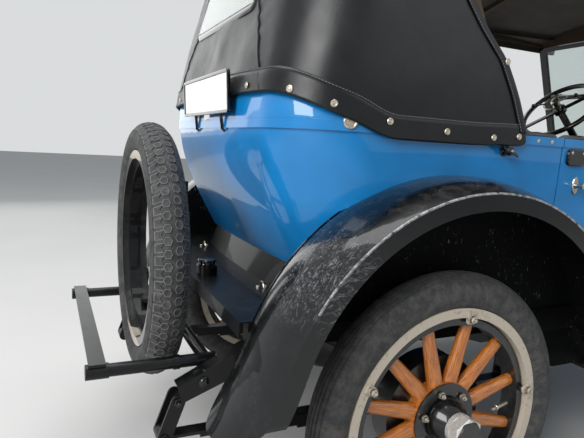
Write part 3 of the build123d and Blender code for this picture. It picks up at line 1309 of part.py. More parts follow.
# Headlamps on their cross bar, and the tail lamp
with BuildPart() as lamps:
    for _, sign in SIDES:
        with BuildSketch(Plane(origin=(sign * HEADLAMP_X, REAR_AXLE_Y + HEADLAMP_Y, HEADLAMP_Z), x_dir=(0, 1, 0), z_dir=(1, 0, 0))):
            with BuildLine():
                Line((130, 0), (-66, 0))
                ThreePointArc((-66, 0), (-61, 60), (-48, HEADLAMP_RADIUS - 16))
                Polyline((-48, HEADLAMP_RADIUS - 16), (-62, HEADLAMP_RADIUS - 14), (-62, HEADLAMP_RADIUS - 4))
                Polyline((-62, HEADLAMP_RADIUS - 4), (-56, HEADLAMP_RADIUS), (-36, HEADLAMP_RADIUS))
                Line((-36, HEADLAMP_RADIUS), (-34, HEADLAMP_RADIUS - 7))
                ThreePointArc((-34, HEADLAMP_RADIUS - 7), (70, 88), (130, 0))
            make_face()
        revolve(axis=Axis((sign * HEADLAMP_X, REAR_AXLE_Y + HEADLAMP_Y, HEADLAMP_Z), (0, 1, 0)))
        with Locations((sign * HEADLAMP_X, REAR_AXLE_Y + HEADLAMP_Y, (LAMP_BAR_Z + HEADLAMP_Z - 90) / 2)):
            Cylinder(14, HEADLAMP_Z - 90 - LAMP_BAR_Z)
    with Locations((0, REAR_AXLE_Y + HEADLAMP_Y, LAMP_BAR_Z)):
        Cylinder(14, 2 * (FRONT_FENDER_INNER_X + 18), rotation=(0, 90, 0))
    lamp_plate_reach = 12
    arch_middle = front_arch.arc_center
    arch_under = front_arch.radius + crown_rise(FRONT_FENDER_INNER_X, lamp_plate_reach - 6) - FENDER_GAUGE
    for _, sign in SIDES:
        with BuildSketch(side_plane(sign * (FRONT_FENDER_INNER_X + lamp_plate_reach) - 6)):
            with Locations((HEADLAMP_Y, LAMP_BAR_Z + 100)):
                Rectangle(30, 220)
            with Locations((arch_middle.Y - REAR_AXLE_Y, arch_middle.Z)):
                Circle(arch_under - 4 * FACE_CLEARANCE, mode=Mode.INTERSECT)
        extrude(amount=12)
    with Locations((rail_x(600) + 70, REAR_AXLE_Y + 640, 560)):
        Cylinder(38, 60, rotation=(90, 0, 0))
    with Locations((rail_x(626) + 36.5, REAR_AXLE_Y + 622, 515)):
        Box(72, 8, 90)
save(lamps.part, "lamps")
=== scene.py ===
import math

import bmesh
import bpy
from mathutils import Matrix, Vector, noise
from mathutils.bvhtree import BVHTree


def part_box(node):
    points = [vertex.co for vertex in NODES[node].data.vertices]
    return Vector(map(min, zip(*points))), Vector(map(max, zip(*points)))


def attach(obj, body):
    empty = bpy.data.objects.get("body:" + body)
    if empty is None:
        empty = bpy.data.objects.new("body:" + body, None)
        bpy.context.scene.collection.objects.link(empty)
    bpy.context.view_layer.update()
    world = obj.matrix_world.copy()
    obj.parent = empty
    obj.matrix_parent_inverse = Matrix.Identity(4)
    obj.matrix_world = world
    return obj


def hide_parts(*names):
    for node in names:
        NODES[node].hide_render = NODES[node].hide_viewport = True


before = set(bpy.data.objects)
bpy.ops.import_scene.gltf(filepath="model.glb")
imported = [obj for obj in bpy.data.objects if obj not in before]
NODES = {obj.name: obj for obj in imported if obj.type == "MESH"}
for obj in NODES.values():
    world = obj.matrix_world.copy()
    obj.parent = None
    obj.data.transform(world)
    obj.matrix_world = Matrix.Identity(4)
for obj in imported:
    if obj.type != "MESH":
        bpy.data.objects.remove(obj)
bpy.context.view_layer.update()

bl_info = {
    "name": "Touring Car Dressing",
    "version": (1, 0, 0),
    "blender": (4, 5, 0),
    "location": "3D View > Sidebar > Touring Car",
    "description": "Dresses an open touring car with its paint, cloth top, tyres, trim and stage",
    "category": "Object",
}

# Places that the pieces share, in metres. The rear axle and the front axle come from the wheels' boxes.
REAR_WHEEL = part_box("tyre_rear_right")
FRONT_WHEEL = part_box("tyre_front_right")
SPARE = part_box("spare_tyre")
REAR_Y = (REAR_WHEEL[0].y + REAR_WHEEL[1].y) / 2
FRONT_Y = (FRONT_WHEEL[0].y + FRONT_WHEEL[1].y) / 2
AXLE_Z = (REAR_WHEEL[0].z + REAR_WHEEL[1].z) / 2
WHEEL_X = abs(REAR_WHEEL[0].x + REAR_WHEEL[1].x) / 2
TYRE_R = (REAR_WHEEL[1].z - REAR_WHEEL[0].z) / 2
SPARE_CENTRE = (SPARE[0] + SPARE[1]) / 2
SIDES = (("left", 1), ("right", -1))
# place of the pale patch on the right rear fender, scratches with a painted reflection of the sky, and how
# far it reaches
FENDER_SCRATCHES_AND_REFLECTION = (-0.720, REAR_Y + 0.400, 0.840)
SCRATCH_AND_REFLECTION_REACH = 0.17
# faces of the rear fenders nearer the middle than this are the wheelhouse's wall and take its painted shade;
# its lip keeps its gloss
WHEELHOUSE_X = 0.662
WHEELHOUSE_LIP = 0.805
# nearer the rear axle than this the body's side is covered by the fender and painted black as its shade
FENDER_SHADE_REACH = 0.668
FENDER_SHADE_START = -0.30
# floors of the tub lie below this height, its rims above it
TRIM_HEIGHT = 1.0
# width of the radiator shell's lip and its depth in front of the core
RADIATOR_LIP = (0.032, 0.004)
# angle between two spokes, and the radius where a wheel's black paint ends and its rim's cream begins
SPOKE_PITCH = math.pi / 6
RIM_START = 0.2975
# how far under the top of the radiator's shell its core ends
CORE_DROP = 0.085
# width of the flutes in the lamp glass, in millimetres
FLUTE_PITCH = 9.0

# Colours as they are written on a paint card
PAINT_BLUE = "#1178B9"
PAINT_BLACK = "#08090B"
CREAM = "#B4A999"
TOP_BLACK = "#08090C"
NICKEL_TONES = ("#C9C3B6", "#9A9284")


def linear(hex_colour):
    """Linear colour of an sRGB hex value."""
    parts = [int(hex_colour[i : i + 2], 16) / 255 for i in (1, 3, 5)]
    return [c / 12.92 if c <= 0.04045 else ((c + 0.055) / 1.055) ** 2.4 for c in parts]


def rgba(hex_colour):
    """Linear colour with full alpha."""
    return (*linear(hex_colour), 1.0)


class TouringCarSettings(bpy.types.PropertyGroup):
    """Sizes and colours that a user would change."""

    body_colour: bpy.props.FloatVectorProperty(
        name="Body Colour",
        description="Colour of the enamel on the body, doors and hood",
        default=linear(PAINT_BLUE),
        subtype="COLOR",
        size=3,
        min=0.0,
        max=1.0,
    )
    black_colour: bpy.props.FloatVectorProperty(
        name="Fender Colour",
        description="Colour of the enamel on the fenders, frame and boards",
        default=linear(PAINT_BLACK),
        subtype="COLOR",
        size=3,
        min=0.0,
        max=1.0,
    )
    top_colour: bpy.props.FloatVectorProperty(
        name="Top Colour",
        description="Colour of the coated cloth of the top",
        default=linear(TOP_BLACK),
        subtype="COLOR",
        size=3,
        min=0.0,
        max=1.0,
    )
    rim_colour: bpy.props.FloatVectorProperty(
        name="Rim Colour",
        description="Colour of the enamel on the demountable rims",
        default=linear(CREAM),
        subtype="COLOR",
        size=3,
        min=0.0,
        max=1.0,
    )
    fastener_radius: bpy.props.FloatProperty(
        name="Fastener Radius",
        description="Radius of the snap fasteners along the hem of the top",
        default=0.0095,
        unit="LENGTH",
        min=0.004,
        max=0.02,
    )
    hem_width: bpy.props.FloatProperty(
        name="Hem Width",
        description="Width of the folded and stitched hem of the top",
        default=0.065,
        unit="LENGTH",
        min=0.02,
        max=0.09,
    )
    tread_depth: bpy.props.FloatProperty(
        name="Tread Depth",
        description="Depth of the grooves in the tyres",
        default=0.004,
        unit="LENGTH",
        min=0.002,
        max=0.008,
    )


def settings():
    """The sizes and colours set in the sidebar."""
    return bpy.context.scene.touring_car


# Materials


def add_node(tree, kind, inputs=(), **properties):
    """Adds one node: properties are set on it, inputs maps a socket to a value or to an output."""
    made = tree.nodes.new(kind)
    for name, value in properties.items():
        setattr(made, name, value)
    for socket, value in dict(inputs).items():
        if isinstance(value, bpy.types.NodeSocket):
            tree.links.new(value, made.inputs[socket])
        else:
            made.inputs[socket].default_value = value
    return made


def new_material(name, **sockets):
    """A material with its shader's constants set; returns it with its tree and shader."""
    material = bpy.data.materials.new(name)
    material.use_nodes = True
    tree = material.node_tree
    shader = tree.nodes["Principled BSDF"]
    for socket, value in sockets.items():
        shader.inputs[socket.replace("_", " ")].default_value = value
    return material, tree, shader


def feed(tree, shader, **outputs):
    """Links outputs to the shader's sockets."""
    for socket, output in outputs.items():
        tree.links.new(output, shader.inputs[socket.replace("_", " ")])


def millimetres(size):
    """Scale of a noise whose features are about this many millimetres wide."""
    return 1000.0 / size


def place_of(tree, scale=(1.0, 1.0, 1.0)):
    """Object coordinates in metres, stretched by scale."""
    place = add_node(tree, "ShaderNodeTexCoord").outputs["Object"]
    return add_node(tree, "ShaderNodeMapping", {"Vector": place, "Scale": scale}).outputs[0]


def grain(tree, size, detail=3.0, roughness=0.55, place=None, **more):
    """Noise with features of a size in millimetres."""
    inputs = {"Vector": place or place_of(tree), "Scale": millimetres(size)}
    inputs.update(Detail=detail, Roughness=roughness, **more)
    return add_node(tree, "ShaderNodeTexNoise", inputs).outputs["Fac"]


def cells(tree, size, randomness=1.0):
    """Distance to the middle of the nearest cell, for cells of a size in millimetres."""
    inputs = {"Vector": place_of(tree), "Scale": millimetres(size), "Randomness": randomness}
    return add_node(tree, "ShaderNodeTexVoronoi", inputs).outputs["Distance"]


def worked(tree, operation, first, *second):
    """One step of arithmetic on values or outputs."""
    made = add_node(tree, "ShaderNodeMath", dict(enumerate((first, *second))), operation=operation)
    return made.outputs[0]


def times(tree, first, second):
    """Product of two values or outputs."""
    return worked(tree, "MULTIPLY", first, second)


def moved(tree, operation, first, *second):
    """One step of arithmetic on vectors."""
    made = add_node(tree, "ShaderNodeVectorMath", dict(enumerate((first, *second))), operation=operation)
    return made.outputs["Value" if operation in ("LENGTH", "DISTANCE") else "Vector"]


def from_centre(tree, centre):
    """Object coordinates measured from a centre."""
    return moved(tree, "SUBTRACT", add_node(tree, "ShaderNodeTexCoord").outputs["Object"], centre)


def axle_distance(tree, centre):
    """Distance from the line that runs across the car through a centre."""
    return moved(tree, "LENGTH", moved(tree, "MULTIPLY", from_centre(tree, centre), (0.0, 1.0, 1.0)))


def along_axis(tree, vector, axis):
    """One coordinate of a vector."""
    return add_node(tree, "ShaderNodeSeparateXYZ", {"Vector": vector}).outputs[axis]


def ramp(tree, value, low, high, start=0.0, end=1.0):
    """Maps a value's span low..high onto start..end."""
    inputs = {"Value": value, "From Min": low, "From Max": high, "To Min": start, "To Max": end}
    return add_node(tree, "ShaderNodeMapRange", inputs).outputs[0]


def blend_colours(tree, share, first, second):
    """Mixes two colours by a share; a colour is a hex value or an output."""
    first, second = (rgba(colour) if isinstance(colour, str) else colour for colour in (first, second))
    inputs = {0: share, 6: first, 7: second}
    return add_node(tree, "ShaderNodeMix", inputs, data_type="RGBA").outputs[2]


def bump(tree, shader, height, depth, strength=1.0, under=None):
    """Raises the surface by a height pattern of a depth in metres."""
    made = add_node(tree, "ShaderNodeBump", {"Height": height, "Distance": depth, "Strength": strength})
    if under is not None:
        tree.links.new(under, made.inputs["Normal"])
    feed(tree, shader, Normal=made.outputs[0])
    return made.outputs[0]


def up_facing(tree):
    """How far the surface faces up, where dust settles."""
    normal = add_node(tree, "ShaderNodeNewGeometry").outputs["Normal"]
    return ramp(tree, along_axis(tree, normal, "Z"), 0.2, 1.0)


def tinted(colour, factor, offset=0.0):
    """A set colour made lighter or darker, with full alpha."""
    return [min(1.0, c * factor + offset) for c in colour[:3]] + [1.0]


def two_tone(name, noise, span, colours, rough=None, relief=None, **sockets):
    """A finish of two colours shared out by one noise, which can drive its roughness and relief too."""
    material, tree, shader = new_material(name, **sockets)
    share = ramp(tree, grain(tree, *noise), *span)
    feed(tree, shader, Base_Color=blend_colours(tree, share, *colours))
    if rough:
        full = span[3] if len(span) == 4 else 1.0
        feed(tree, shader, Roughness=ramp(tree, share, 0.0, full, *rough))
    if relief:
        pattern, depth, strength = relief
        bump(tree, shader, grain(tree, *pattern) if pattern else share, depth, strength)
    return material


def blue_enamel():
    """Stoved enamel over pressed steel, sprayed and flatted: wet gloss with a faint orange peel."""
    colour = settings().body_colour
    material, tree, shader = new_material(
        "enamel_blue_sprayed",
        Metallic=0.0,
        Roughness=0.34,
        Specular_IOR_Level=0.15,
        Coat_Weight=0.8,
        Coat_Roughness=0.03,
        IOR=1.5,
    )
    # Old paint is a little uneven in depth over a hand's width
    drift = ramp(tree, grain(tree, 180.0, 2.0), 0.3, 0.7)
    painted = blend_colours(tree, drift, tinted(colour, 0.86), tinted(colour, 1.12))
    # Dust film settles where the panel faces up
    dusty = ramp(tree, grain(tree, 22.0, 6.0, 0.7), 0.45, 0.8, 0.0, 0.25)
    painted = blend_colours(tree, times(tree, dusty, up_facing(tree)), painted, "#8A8F92")
    # Under the rear fenders the body is painted black as the fender's shade
    axle = (0.0, REAR_Y, AXLE_Z)
    in_fender_shade = ramp(tree, axle_distance(tree, axle), FENDER_SHADE_REACH - 0.002, FENDER_SHADE_REACH, 1.0, 0.0)
    along = along_axis(tree, from_centre(tree, axle), "Y")
    ahead = ramp(tree, along, FENDER_SHADE_START - 0.002, FENDER_SHADE_START, 1.0, 0.0)
    painted = blend_colours(tree, times(tree, in_fender_shade, ahead), painted, "#08090A")
    feed(tree, shader, Base_Color=painted)
    # Orange peel is about 3 mm wide and a few microns deep
    bump(tree, shader, grain(tree, 3.0, 1.0), 0.00006, 0.5)
    return material


def black_enamel(name="enamel_black_dipped", rough=0.24, specks=1.0, scratches_and_reflection=None, coat=0.65):
    """Stoved black enamel, dipped: deep gloss that shows every speck of dust and dried splash."""
    material, tree, shader = new_material(
        name, Metallic=0.0, Specular_IOR_Level=0.2, Coat_Weight=coat, Coat_Roughness=0.04, IOR=1.5
    )
    # Road dust lies where the panel faces up
    film = ramp(tree, grain(tree, 35.0, 7.0, 0.65), 0.48, 0.82, 0.0, 0.3)
    settled = times(tree, film, up_facing(tree))
    painted = blend_colours(tree, settled, (*settings().black_colour, 1.0), "#54524D")
    # Light flecks of dried road splash are 2 to 4 mm across
    fleck = ramp(tree, cells(tree, 5.0), 0.12, 0.2, 1.0, 0.0)
    flecks = times(tree, fleck, ramp(tree, grain(tree, 70.0, 4.0, 0.6), 0.56, 0.72))
    painted = blend_colours(tree, times(tree, flecks, 0.42 * specks), painted, "#8C8B84")
    if scratches_and_reflection is not None:
        # Fine scratches lie in a pale patch about a forearm long, where loads are leant on the fender; its
        # pale grey is partly a painted reflection of the sky
        reach = moved(tree, "DISTANCE", place_of(tree), scratches_and_reflection)
        near = ramp(tree, reach, 0.04, SCRATCH_AND_REFLECTION_REACH, 0.75, 0.0)
        stroke = grain(tree, 12.0, 9.0, 0.8, place_of(tree, (1.0, 0.3, 0.5)), Distortion=2.2)
        patch = times(tree, near, ramp(tree, stroke, 0.52, 0.60))
        painted = blend_colours(tree, patch, painted, "#9CA0A5")
    feed(tree, shader, Base_Color=painted, Roughness=ramp(tree, settled, 0.0, 0.3, rough, 0.6))
    bump(tree, shader, grain(tree, 4.0, 2.0), 0.00008, 0.5)
    return material


def wheelhouse_shade_black():
    """Unpolished dip black inside a fender, darker and duller than the fender's enamel as painted shade: flat
    and dark, with streaks of dried white splash.
    """
    material, tree, shader = new_material(
        "enamel_wheelhouse_painted_shade", Metallic=0.0, Roughness=0.7, Specular_IOR_Level=0.08, IOR=1.5
    )
    # Splash runs in drops 4 mm wide and 20 mm long, thickest in a few patches
    drops = grain(tree, 5.0, 3.0, 0.6, place_of(tree, (1.0, 1.0, 0.25)))
    patch = ramp(tree, grain(tree, 110.0, 3.0, 0.6), 0.5, 0.68)
    splash = times(tree, ramp(tree, drops, 0.63, 0.7), patch)
    # The near-black base is painted shade; the pale streaks are dried splash
    feed(tree, shader, Base_Color=blend_colours(tree, splash, "#040506", "#8E9193"))
    return material


def rubbed_and_highlit_bead():
    """Enamel rubbed through on the fender's wired edge, its pale line partly a painted highlight: bright
    steel with black left in its hollows.
    """
    return two_tone(
        "enamel_bead_rubbed_painted_highlight",
        (16.0, 6.0, 0.7),
        (0.36, 0.6),
        ("#2A2C2E", "#A2A5A8"),
        (0.22, 0.4),
        Metallic=0.5,
        Coat_Weight=0.4,
        Coat_Roughness=0.1,
    )


def chassis_enamel():
    """Brushed-on chassis black over forged and riveted steel: half gloss, with road dust in the corners."""
    return black_enamel("enamel_chassis_brushed", 0.42, 0.5, coat=0.25)


def coated_cloth():
    """Leathercloth: cotton duck with a pressed-grain coating, dull sheen and fine pebbling."""
    colour = (*settings().top_colour, 1.0)
    material, tree, shader = new_material(
        "leathercloth_pressed_grain", Metallic=0.0, Specular_IOR_Level=0.36, IOR=1.5
    )
    worn = ramp(tree, grain(tree, 120.0, 5.0, 0.6), 0.35, 0.75)
    coated = blend_colours(tree, worn, colour, tinted(colour, 1.8, 0.002))
    scuffed = ramp(tree, grain(tree, 9.0, 6.0, 0.75), 0.62, 0.78, 0.0, 0.10)
    coated = blend_colours(tree, scuffed, coated, "#6E7175")
    feed(tree, shader, Base_Color=coated, Roughness=ramp(tree, worn, 0.0, 1.0, 0.30, 0.44))
    # Pressed pebble grain is 1 mm in reality and drawn 2.4 mm wide so that it shows
    pebbled = bump(tree, shader, cells(tree, 2.4, 0.9), 0.0004, 0.45)
    # Slack ripples, 60 to 90 mm from crest to crest
    bump(tree, shader, grain(tree, 75.0, 2.0, 0.4), 0.004, 0.35, pebbled)
    return material


def lining_cloth():
    """Woven cotton lining of the top: drab brown-grey with a visible thread."""
    material, tree, shader = new_material(
        "cotton_lining_woven", Metallic=0.0, Roughness=0.9, Sheen_Weight=0.2
    )
    # Threads are 0.6 mm and drawn 3 mm wide
    threads = []
    for direction in ("X", "Y"):
        inputs = {"Vector": place_of(tree), "Scale": millimetres(3.0) / 6.28, "Distortion": 0.6}
        threads.append(add_node(tree, "ShaderNodeTexWave", inputs, bands_direction=direction).outputs["Fac"])
    weave = times(tree, *threads)
    stains = ramp(tree, grain(tree, 90.0, 5.0), 0.3, 0.7)
    woven = blend_colours(tree, stains, "#36302A", "#4E463D")
    woven = blend_colours(tree, ramp(tree, weave, 0.0, 1.0, 0.0, 0.35), woven, "#2E2924")
    feed(tree, shader, Base_Color=woven)
    bump(tree, shader, weave, 0.0003, 0.6)
    return material


def tyre_rubber():
    """Moulded tyre rubber with carbon black: dull, with brown-grey road dust in its grooves."""
    material, tree, shader = new_material("rubber_tyre_moulded", Metallic=0.0, Roughness=0.78, IOR=1.5)
    dust = ramp(tree, grain(tree, 28.0, 7.0, 0.7), 0.42, 0.75, 0.0, 0.55)
    fine = ramp(tree, grain(tree, 2.5, 3.0), 0.3, 0.8)
    rubber = blend_colours(tree, dust, "#2D2E30", "#6E6A63")
    rubber = blend_colours(tree, times(tree, fine, 0.3), rubber, "#17181A")
    feed(tree, shader, Base_Color=rubber)
    bump(tree, shader, fine, 0.0002, 0.5)
    return material


def spoke_hickory(name, centre):
    """Turned hickory under spar varnish: orange-brown, with long grain along each spoke."""
    material, tree, shader = new_material(
        name, Metallic=0.0, Roughness=0.38, Coat_Weight=0.85, Coat_Roughness=0.1, IOR=1.52
    )
    place = from_centre(tree, centre)
    # The spokes stand every 30 degrees, so a place is turned back by its own spoke's angle
    turn = worked(tree, "ARCTAN2", along_axis(tree, place, "Y"), along_axis(tree, place, "Z"))
    back = worked(tree, "ADD", worked(tree, "SNAP", turn, SPOKE_PITCH), SPOKE_PITCH / 2)
    straight = add_node(
        tree, "ShaderNodeVectorRotate", {"Vector": place, "Angle": back}, rotation_type="X_AXIS"
    ).outputs[0]
    # Year rings are 2 mm apart across the spoke and run on along it
    long_grain = add_node(tree, "ShaderNodeMapping", {"Vector": straight, "Scale": (1.0, 1.0, 0.07)})
    rings = grain(tree, 2.6, 4.0, 0.6, long_grain.outputs[0], Distortion=0.5)
    patches = ramp(tree, grain(tree, 60.0, 2.0, 0.5), 0.4, 0.7, 0.0, 0.4)
    wood = blend_colours(tree, ramp(tree, rings, 0.35, 0.65), "#8A4512", "#D0802A")
    feed(tree, shader, Base_Color=blend_colours(tree, patches, wood, "#8A4A1C"))
    bump(tree, shader, rings, 0.0002, 0.4)
    return material


def wheel_paint(name, centre):
    """Enamel in rings about the wheel's axis: black felloe and hub, cream rim, brushed by hand."""
    material, tree, shader = new_material(name, Metallic=0.0, Coat_Weight=0.5, Coat_Roughness=0.12, IOR=1.5)
    rim = ramp(tree, axle_distance(tree, centre), RIM_START, RIM_START + 0.001)
    rust = ramp(tree, grain(tree, 14.0, 7.0, 0.72), 0.56, 0.74, 0.0, 0.85)
    cream = blend_colours(tree, rust, (*settings().rim_colour, 1.0), "#5E5142")
    dust = ramp(tree, grain(tree, 18.0, 6.0, 0.7), 0.45, 0.8, 0.0, 0.35)
    black = blend_colours(tree, dust, "#0E0F10", "#4B463E")
    feed(tree, shader, Base_Color=blend_colours(tree, rim, black, cream))
    feed(tree, shader, Roughness=ramp(tree, rim, 0.0, 1.0, 0.32, 0.55))
    bump(tree, shader, grain(tree, 6.0, 4.0), 0.0002, 0.5)
    return material


def nickel_plate(name="nickel_plated_polished", rough=0.2):
    """Nickel plate over brass, buffed: warm bright metal, dulled by fine scratches."""
    return two_tone(name, (6.0, 6.0, 0.7), (0.4, 0.75), NICKEL_TONES, (rough, rough + 0.22), Metallic=1.0)


def old_brass():
    """Turned brass fastener caps, tarnished: pale worn crowns, brown in their hollows."""
    tones = ("#D6CFC2", "#8C765A")
    return two_tone("brass_turned_tarnished", (3.0, 5.0, 0.7), (0.4, 0.7), tones, (0.28, 0.5), Metallic=1.0)


def window_glass():
    """Drawn sheet glass: clear, with a trace of green."""
    material, tree, shader = new_material(
        "glass_sheet_drawn", Base_Color=rgba("#DDE9E6"), Roughness=0.03, Transmission_Weight=0.94, IOR=1.5
    )
    bump(tree, shader, grain(tree, 160.0, 1.0), 0.0006, 0.3)
    return material


def seat_leather(name="leather_hide_buffed", deep="#141312", worn="#2C2824"):
    """Buffed hide, pleated and stuffed: black with a soft sheen and a creased grain."""
    material, tree, shader = new_material(name, Metallic=0.0, IOR=1.5)
    share = ramp(tree, grain(tree, 60.0, 5.0), 0.35, 0.7)
    feed(tree, shader, Base_Color=blend_colours(tree, share, deep, worn))
    feed(tree, shader, Roughness=ramp(tree, share, 0.0, 1.0, 0.36, 0.55))
    bump(tree, shader, cells(tree, 3.0), 0.0004, 0.6)
    return material


def cast_iron():
    """Sand-cast iron: rough, dark and oily."""
    tones = ("#2B2A28", "#4C4640")
    relief = ((2.0, 4.0), 0.0004, 0.8)
    return two_tone("iron_sand_cast", (40.0, 6.0), (0.3, 0.7), tones, (0.4, 0.75), relief, Metallic=0.6)


def bow_ash():
    """Steamed ash bow, oiled: pale brown with long grain across the car."""
    material, tree, shader = new_material("ash_steamed_oiled", Metallic=0.0, Roughness=0.6, IOR=1.5)
    rings = grain(tree, 3.0, 4.0, 0.6, place_of(tree, (0.06, 1.0, 1.0)))
    wood = blend_colours(tree, ramp(tree, rings, 0.35, 0.65), "#33261C", "#57432F")
    feed(tree, shader, Base_Color=wood)
    bump(tree, shader, rings, 0.0002, 0.5)
    return material


def wheel_ebonite():
    """Moulded hard rubber of the steering wheel: black, polished by hands."""
    tones = ("#0C0B0A", "#241C16")
    constants = {"Metallic": 0.0, "Coat_Weight": 0.4, "IOR": 1.6}
    return two_tone("ebonite_moulded_polished", (30.0, 4.0), (0.35, 0.7), tones, (0.2, 0.4), **constants)


def plate_enamel():
    """White vitreous enamel on a steel plate: milky gloss with a little grime."""
    tones = ("#F1F2F0", "#A5A198")
    constants = {"Metallic": 0.0, "Roughness": 0.25, "Coat_Weight": 0.6}
    return two_tone("vitreous_enamel_white", (30.0, 6.0, 0.7), (0.5, 0.8, 0.0, 0.3), tones, **constants)


def waxed_thread():
    """Linen thread, waxed: grey stitches that catch the light on the black cloth."""
    tones = ("#5E6064", "#8A8C8F")
    return two_tone("linen_thread_waxed", (1.5, 2.0), (0.0, 1.0), tones, Metallic=0.0, Roughness=0.7)


def scuffed_rubber():
    """Moulded rubber edge, scuffed by handling: paler and drier than the face beside it."""
    tones = ("#3E3F41", "#6C6D6E")
    relief = ((1.5, 3.0), 0.0002, 0.4)
    constants = {"Metallic": 0.0, "Roughness": 0.85}
    return two_tone("rubber_edge_scuffed", (12.0, 5.0, 0.7), (0.3, 0.7), tones, None, relief, **constants)


def hub_aluminium():
    """Aluminium hub cap, cast and turned: pale grey metal with dull pitting."""
    tones = ("#E2E1DE", "#A9A6A0")
    noise, span, relief = (5.0, 6.0, 0.75), (0.45, 0.75), (None, 0.0003, 0.5)
    return two_tone("aluminium_cast_turned", noise, span, tones, (0.36, 0.6), relief, Metallic=0.6)


def rim_clamp_enamel():
    """Rim enamel on malleable iron clamps: cream, chipped to rust along its edges."""
    return two_tone(
        "enamel_rim_clamps_chipped",
        (9.0, 7.0, 0.72),
        (0.48, 0.68, 0.0, 0.9),
        ((*settings().rim_colour, 1.0), "#5A4636"),
        (0.5, 0.85),
        (None, 0.0003, 0.6),
        Metallic=0.0,
        Coat_Weight=0.2,
        Coat_Roughness=0.3,
    )


def lamp_glass():
    """Fluted lamp glass over its silvered reflector: bright, ribbed and slightly green, with each flute's
    highlight and shade painted as pale and dark stripes.
    """
    material, tree, shader = new_material(
        "glass_lamp_pressed", Metallic=0.35, Roughness=0.1, Coat_Weight=1.0, IOR=1.5
    )
    across = along_axis(tree, place_of(tree), "X")
    flute = worked(tree, "SINE", times(tree, across, millimetres(FLUTE_PITCH) * 2 * math.pi))
    # Pale and dark stripes across the flutes are a painted highlight and painted shade
    flute_highlight_and_shade = ramp(tree, flute, -1.0, 1.0)
    feed(tree, shader, Base_Color=blend_colours(tree, flute_highlight_and_shade, "#8E9698", "#DCE3E2"))
    bump(tree, shader, flute, 0.0008, 0.6)
    return material


def radiator_finish():
    """Nickelled shell round a black honeycomb core: the core lies behind the shell's front rim."""
    material, tree, shader = new_material("nickel_shell_black_core")
    low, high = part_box("radiator")
    lip, depth = RADIATOR_LIP
    place = place_of(tree)
    reach = worked(tree, "ABSOLUTE", along_axis(tree, place, "X"))
    behind = ramp(tree, along_axis(tree, place, "Y"), low.y + depth, low.y + depth + 0.0005)
    inside = ramp(tree, reach, high.x - lip - 0.001, high.x - lip, 1.0, 0.0)
    crown = high.z - CORE_DROP
    under = ramp(tree, along_axis(tree, place, "Z"), crown, crown + 0.001, 1.0, 0.0)
    core = times(tree, times(tree, behind, inside), under)
    dull = ramp(tree, grain(tree, 8.0, 6.0, 0.7), 0.4, 0.75)
    metal = blend_colours(tree, dull, *NICKEL_TONES)
    feed(tree, shader, Base_Color=blend_colours(tree, core, metal, "#141516"))
    feed(tree, shader, Metallic=ramp(tree, core, 0.0, 1.0, 1.0, 0.0))
    feed(tree, shader, Roughness=ramp(tree, core, 0.0, 1.0, 0.2, 0.6))
    bump(tree, shader, grain(tree, 6.0, 3.0), 0.0001, 0.3)
    return material


def put(node, material):
    """Gives a carried-over node its material."""
    mesh = NODES[node].data
    if not mesh.materials:
        mesh.materials.append(material)
    for place in range(len(mesh.materials)):
        mesh.materials[place] = material


def put_on_faces(node, material, chosen):
    """Gives the chosen faces of a painted node a second material."""
    mesh = NODES[node].data
    mesh.materials.append(material)
    second = len(mesh.materials) - 1
    for face in mesh.polygons:
        if chosen(face):
            face.material_index = second


def wheel_corners():
    """Each wheel's corner, the side's sign and the wheel's centre."""
    for axle, y in (("front", FRONT_Y), ("rear", REAR_Y)):
        for side, sign in SIDES:
            yield f"{axle}_{side}", sign, Vector((sign * WHEEL_X, y, AXLE_Z))


def in_wheelhouse(face):
    """Whether a face of the rear fenders faces the wheel or is the wheelhouse's wall."""
    reach = abs(face.center.x)
    to_axle = Vector((0, REAR_Y - face.center.y, AXLE_Z - face.center.z)).normalized()
    under = face.normal.dot(to_axle) > 0.35 and reach < WHEELHOUSE_LIP
    return under or (reach < WHEELHOUSE_X and abs(face.normal.x) > 0.7)


def faces_in(face):
    """Whether a face of a door or of the tub's wall looks towards the seats."""
    return face.normal.x * math.copysign(1, face.center.x) < -0.7


def lines_tub(face):
    """Whether a face of the tub is an inner wall or the floor."""
    end = face.normal.y < -0.6 and face.center.y > REAR_Y
    floor = face.normal.z > 0.7 and face.center.z < TRIM_HEIGHT
    return faces_in(face) or end or floor


